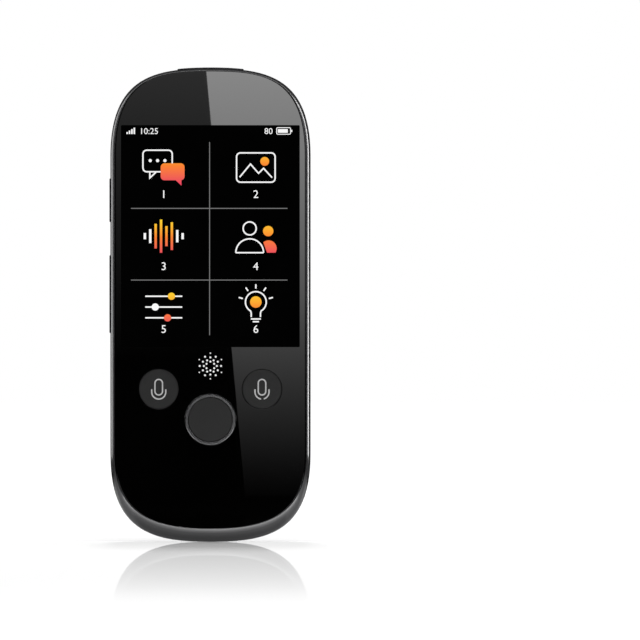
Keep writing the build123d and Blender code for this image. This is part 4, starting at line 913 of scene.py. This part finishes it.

# ---- Dust and shade seal ----
# A strip of black foam stuck along the back edge of the switch bracket. It keeps dust and
# light out of the gaps round the side key and the volume rocker, and it is put there as shade: without it,
# light passes through the body from these gaps to the card door's gap.
seal_x, seal_z, seal_width, seal_length, seal_corner = -22.5, 74.3, 1.0, 42.0, 0.3  # mm
seal_front, seal_back = -0.00011, 0.001
strip = round_box(seal_x, seal_z, seal_width, seal_length, seal_corner)
seal_shape = bmesh.new()
prism(seal_shape, strip, seal_front, seal_back)
seal = solid_from("side_key_dust_and_shade_seal", seal_shape, foam)
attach(seal, "housing")

# ---- Light guide and lamps ----
# Three white lamps soldered to the key board. A guide moulded in frosted clear plastic sits
# over them and spreads their light behind the windows.
frosted = plain("frosted_clear", (214, 218, 220), (226, 230, 232), (0.4, 0.5), grain=0.002)
set_shader(frosted, "Transmission Weight", 0.6)
dress(frosted, "status_light_guide")
lamp_white = plain("lamp_white", (232, 230, 214), (244, 242, 228), (0.4, 0.5), grain=0.0006)
dress(lamp_white, "status_lamps")

# ---- Boards, flexes and small parts ----
# Green boards with fine tracks, amber flexes with copper under the film, black moulded parts
# and gold contacts, and the two cards in their tray.
board_green, tree, shader, where = new_finish("board_green")
tracks = tree.nodes.new("ShaderNodeTexBrick")
tracks.inputs["Scale"].default_value = 420.0
tracks.inputs["Mortar Size"].default_value = 0.035
tracks.inputs["Color1"].default_value = tone(18, 74, 46)
tracks.inputs["Color2"].default_value = tone(22, 84, 52)
tracks.inputs["Mortar"].default_value = tone(52, 128, 84)
turned = tree.nodes.new("ShaderNodeMapping")
turned.inputs["Rotation"].default_value = (math.pi / 2, 0.0, 0.0)
tree.links.new(where, turned.inputs["Vector"])
tree.links.new(turned.outputs[0], tracks.inputs["Vector"])
tree.links.new(tracks.outputs["Color"], shader.inputs["Base Color"])
gloss_range(tree, shader, mottle(tree, where, 0.003), 0.3, 0.42)
dress(board_green, "key_board", "main_board", "sub_board")


def waves(tree, where, way, scale):
    """Even stripes across X or Z."""
    stripes = tree.nodes.new("ShaderNodeTexWave")
    stripes.bands_direction = way
    stripes.inputs["Scale"].default_value = scale
    tree.links.new(where, stripes.inputs["Vector"])
    return stripes.outputs["Fac"]


amber, tree, shader, where = new_finish("flex_amber")
two_tones(tree, shader, waves(tree, where, "X", 620.0), tone(166, 98, 30), tone(192, 122, 44))
gloss_range(tree, shader, mottle(tree, where, 0.003), 0.26, 0.36)
dress(amber, "display_flex", "interconnect_flex", "battery_tail", "battery_cap")
epoxy = plain("chip_epoxy", (26, 26, 28), (36, 36, 38), (0.5, 0.62), 0.0, 0.001, (0.0001, 0.000004))
dress(epoxy, "board_chips", "memory_card")
moulded_tones = (22, 22, 23), (30, 30, 31)
moulded = plain("moulded_black", *moulded_tones, (0.42, 0.54), 0.0, 0.002, (0.0002, 0.000004))
dress(
    moulded, "front_key_switches", "side_key_switches", "top_key_switch", "home_plunger",
    "left_talk_plunger", "right_talk_plunger", "top_key_plunger", "side_key_plunger",
    "volume_plungers", "port_insert", "card_connector_base", "speaker_box", "camera_module",
)
gold = plain("contact_gold", (206, 168, 88), (226, 188, 108), (0.2, 0.3), 1.0, 0.0006)
dress(gold, "card_contacts")
dress(plain("card_white", (222, 222, 218), (232, 232, 228), (0.4, 0.5), grain=0.003), "sim_card")

# ---- Battery and port ----
# A foil pouch cell. The shell of the port is nickel plated, and so are the lids of the
# microphones beside it and the basket of the speaker.
foil_tones = (156, 158, 162), (180, 182, 186)
foil = plain("pouch_foil", *foil_tones, (0.3, 0.46), 0.85, 0.006, (0.002, 0.00003))
dress(foil, "battery_cell")
nickel = plain("port_nickel", (150, 148, 144), (172, 170, 166), (0.22, 0.32), 1.0, 0.0015)
dress(nickel, "port_shell", "microphones", "speaker_driver")

# ---- Speaker ----
# Black woven mesh lies behind the sound holes and keeps dust out. Under it is the driver,
# with a cone of dark film.
mesh_black, tree, shader, where = new_finish("woven_mesh_black", rough=0.6)
crossed = maths(tree, "MULTIPLY", *(waves(tree, where, way, 1600.0) for way in "XZ"))
two_tones(tree, shader, crossed, tone(8, 8, 8), tone(26, 26, 26))
relief(tree, shader, crossed, 0.00003)
dress(mesh_black, "speaker_mesh")
dress(plain("speaker_film", (34, 34, 36), (42, 42, 44), (0.3, 0.4), grain=0.003), "speaker_cone")

# ---- Camera ----
# A black anodised trim ring in the bore of the rear cover holds a clear window. The window is drawn
# opaque: its outer rings are the dark print, and inside them it paints the coated lens with painted
# reflections.
dress(plain("trim_black_anodised", (4, 4, 4), (8, 8, 8), (0.16, 0.22), grain=0.001), "camera_trim")
window_height, window_radius = 0.08966, 0.0035
# Painted reflections: the pale and blue rings and the pink glint in the middle stand in for light on the
# lens; the dark grey and black outer rings are the print.
window_print_and_painted_glints = (
    (0.0, tone(40, 30, 44)), (0.06, tone(8, 7, 12)), (0.24, tone(10, 11, 18)), (0.32, tone(128, 140, 160)),
    (0.38, tone(26, 34, 52)), (0.48, tone(40, 56, 92)), (0.58, tone(96, 112, 146)), (0.64, tone(26, 28, 34)),
    (0.68, tone(40, 40, 41)), (0.9, tone(48, 48, 49)), (0.96, tone(14, 14, 14)), (1.0, tone(6, 6, 6)),
)
window, tree, shader, where = new_finish("camera_window_painted_lens", rough=0.02)
centred = tree.nodes.new("ShaderNodeMapping")
centred.inputs["Location"].default_value = (0.0, 0.0, -window_height)
tree.links.new(where, centred.inputs["Vector"])
flat = tree.nodes.new("ShaderNodeVectorMath")
flat.operation = "MULTIPLY"
flat.inputs[1].default_value = (1, 0, 1)
tree.links.new(centred.outputs[0], flat.inputs[0])
from_middle = stretch(tree, size_of(tree, flat.outputs[0]), 0.0, window_radius, 0.0, 1.0)
tree.links.new(colour_ramp(tree, from_middle, window_print_and_painted_glints, "EASE"), shader.inputs["Base Color"])
dress(window, "camera_window")
dress(plain("lens_coating", (20, 26, 52), (40, 34, 66), (0.03, 0.06), 0.2, 0.002), "camera_lens")
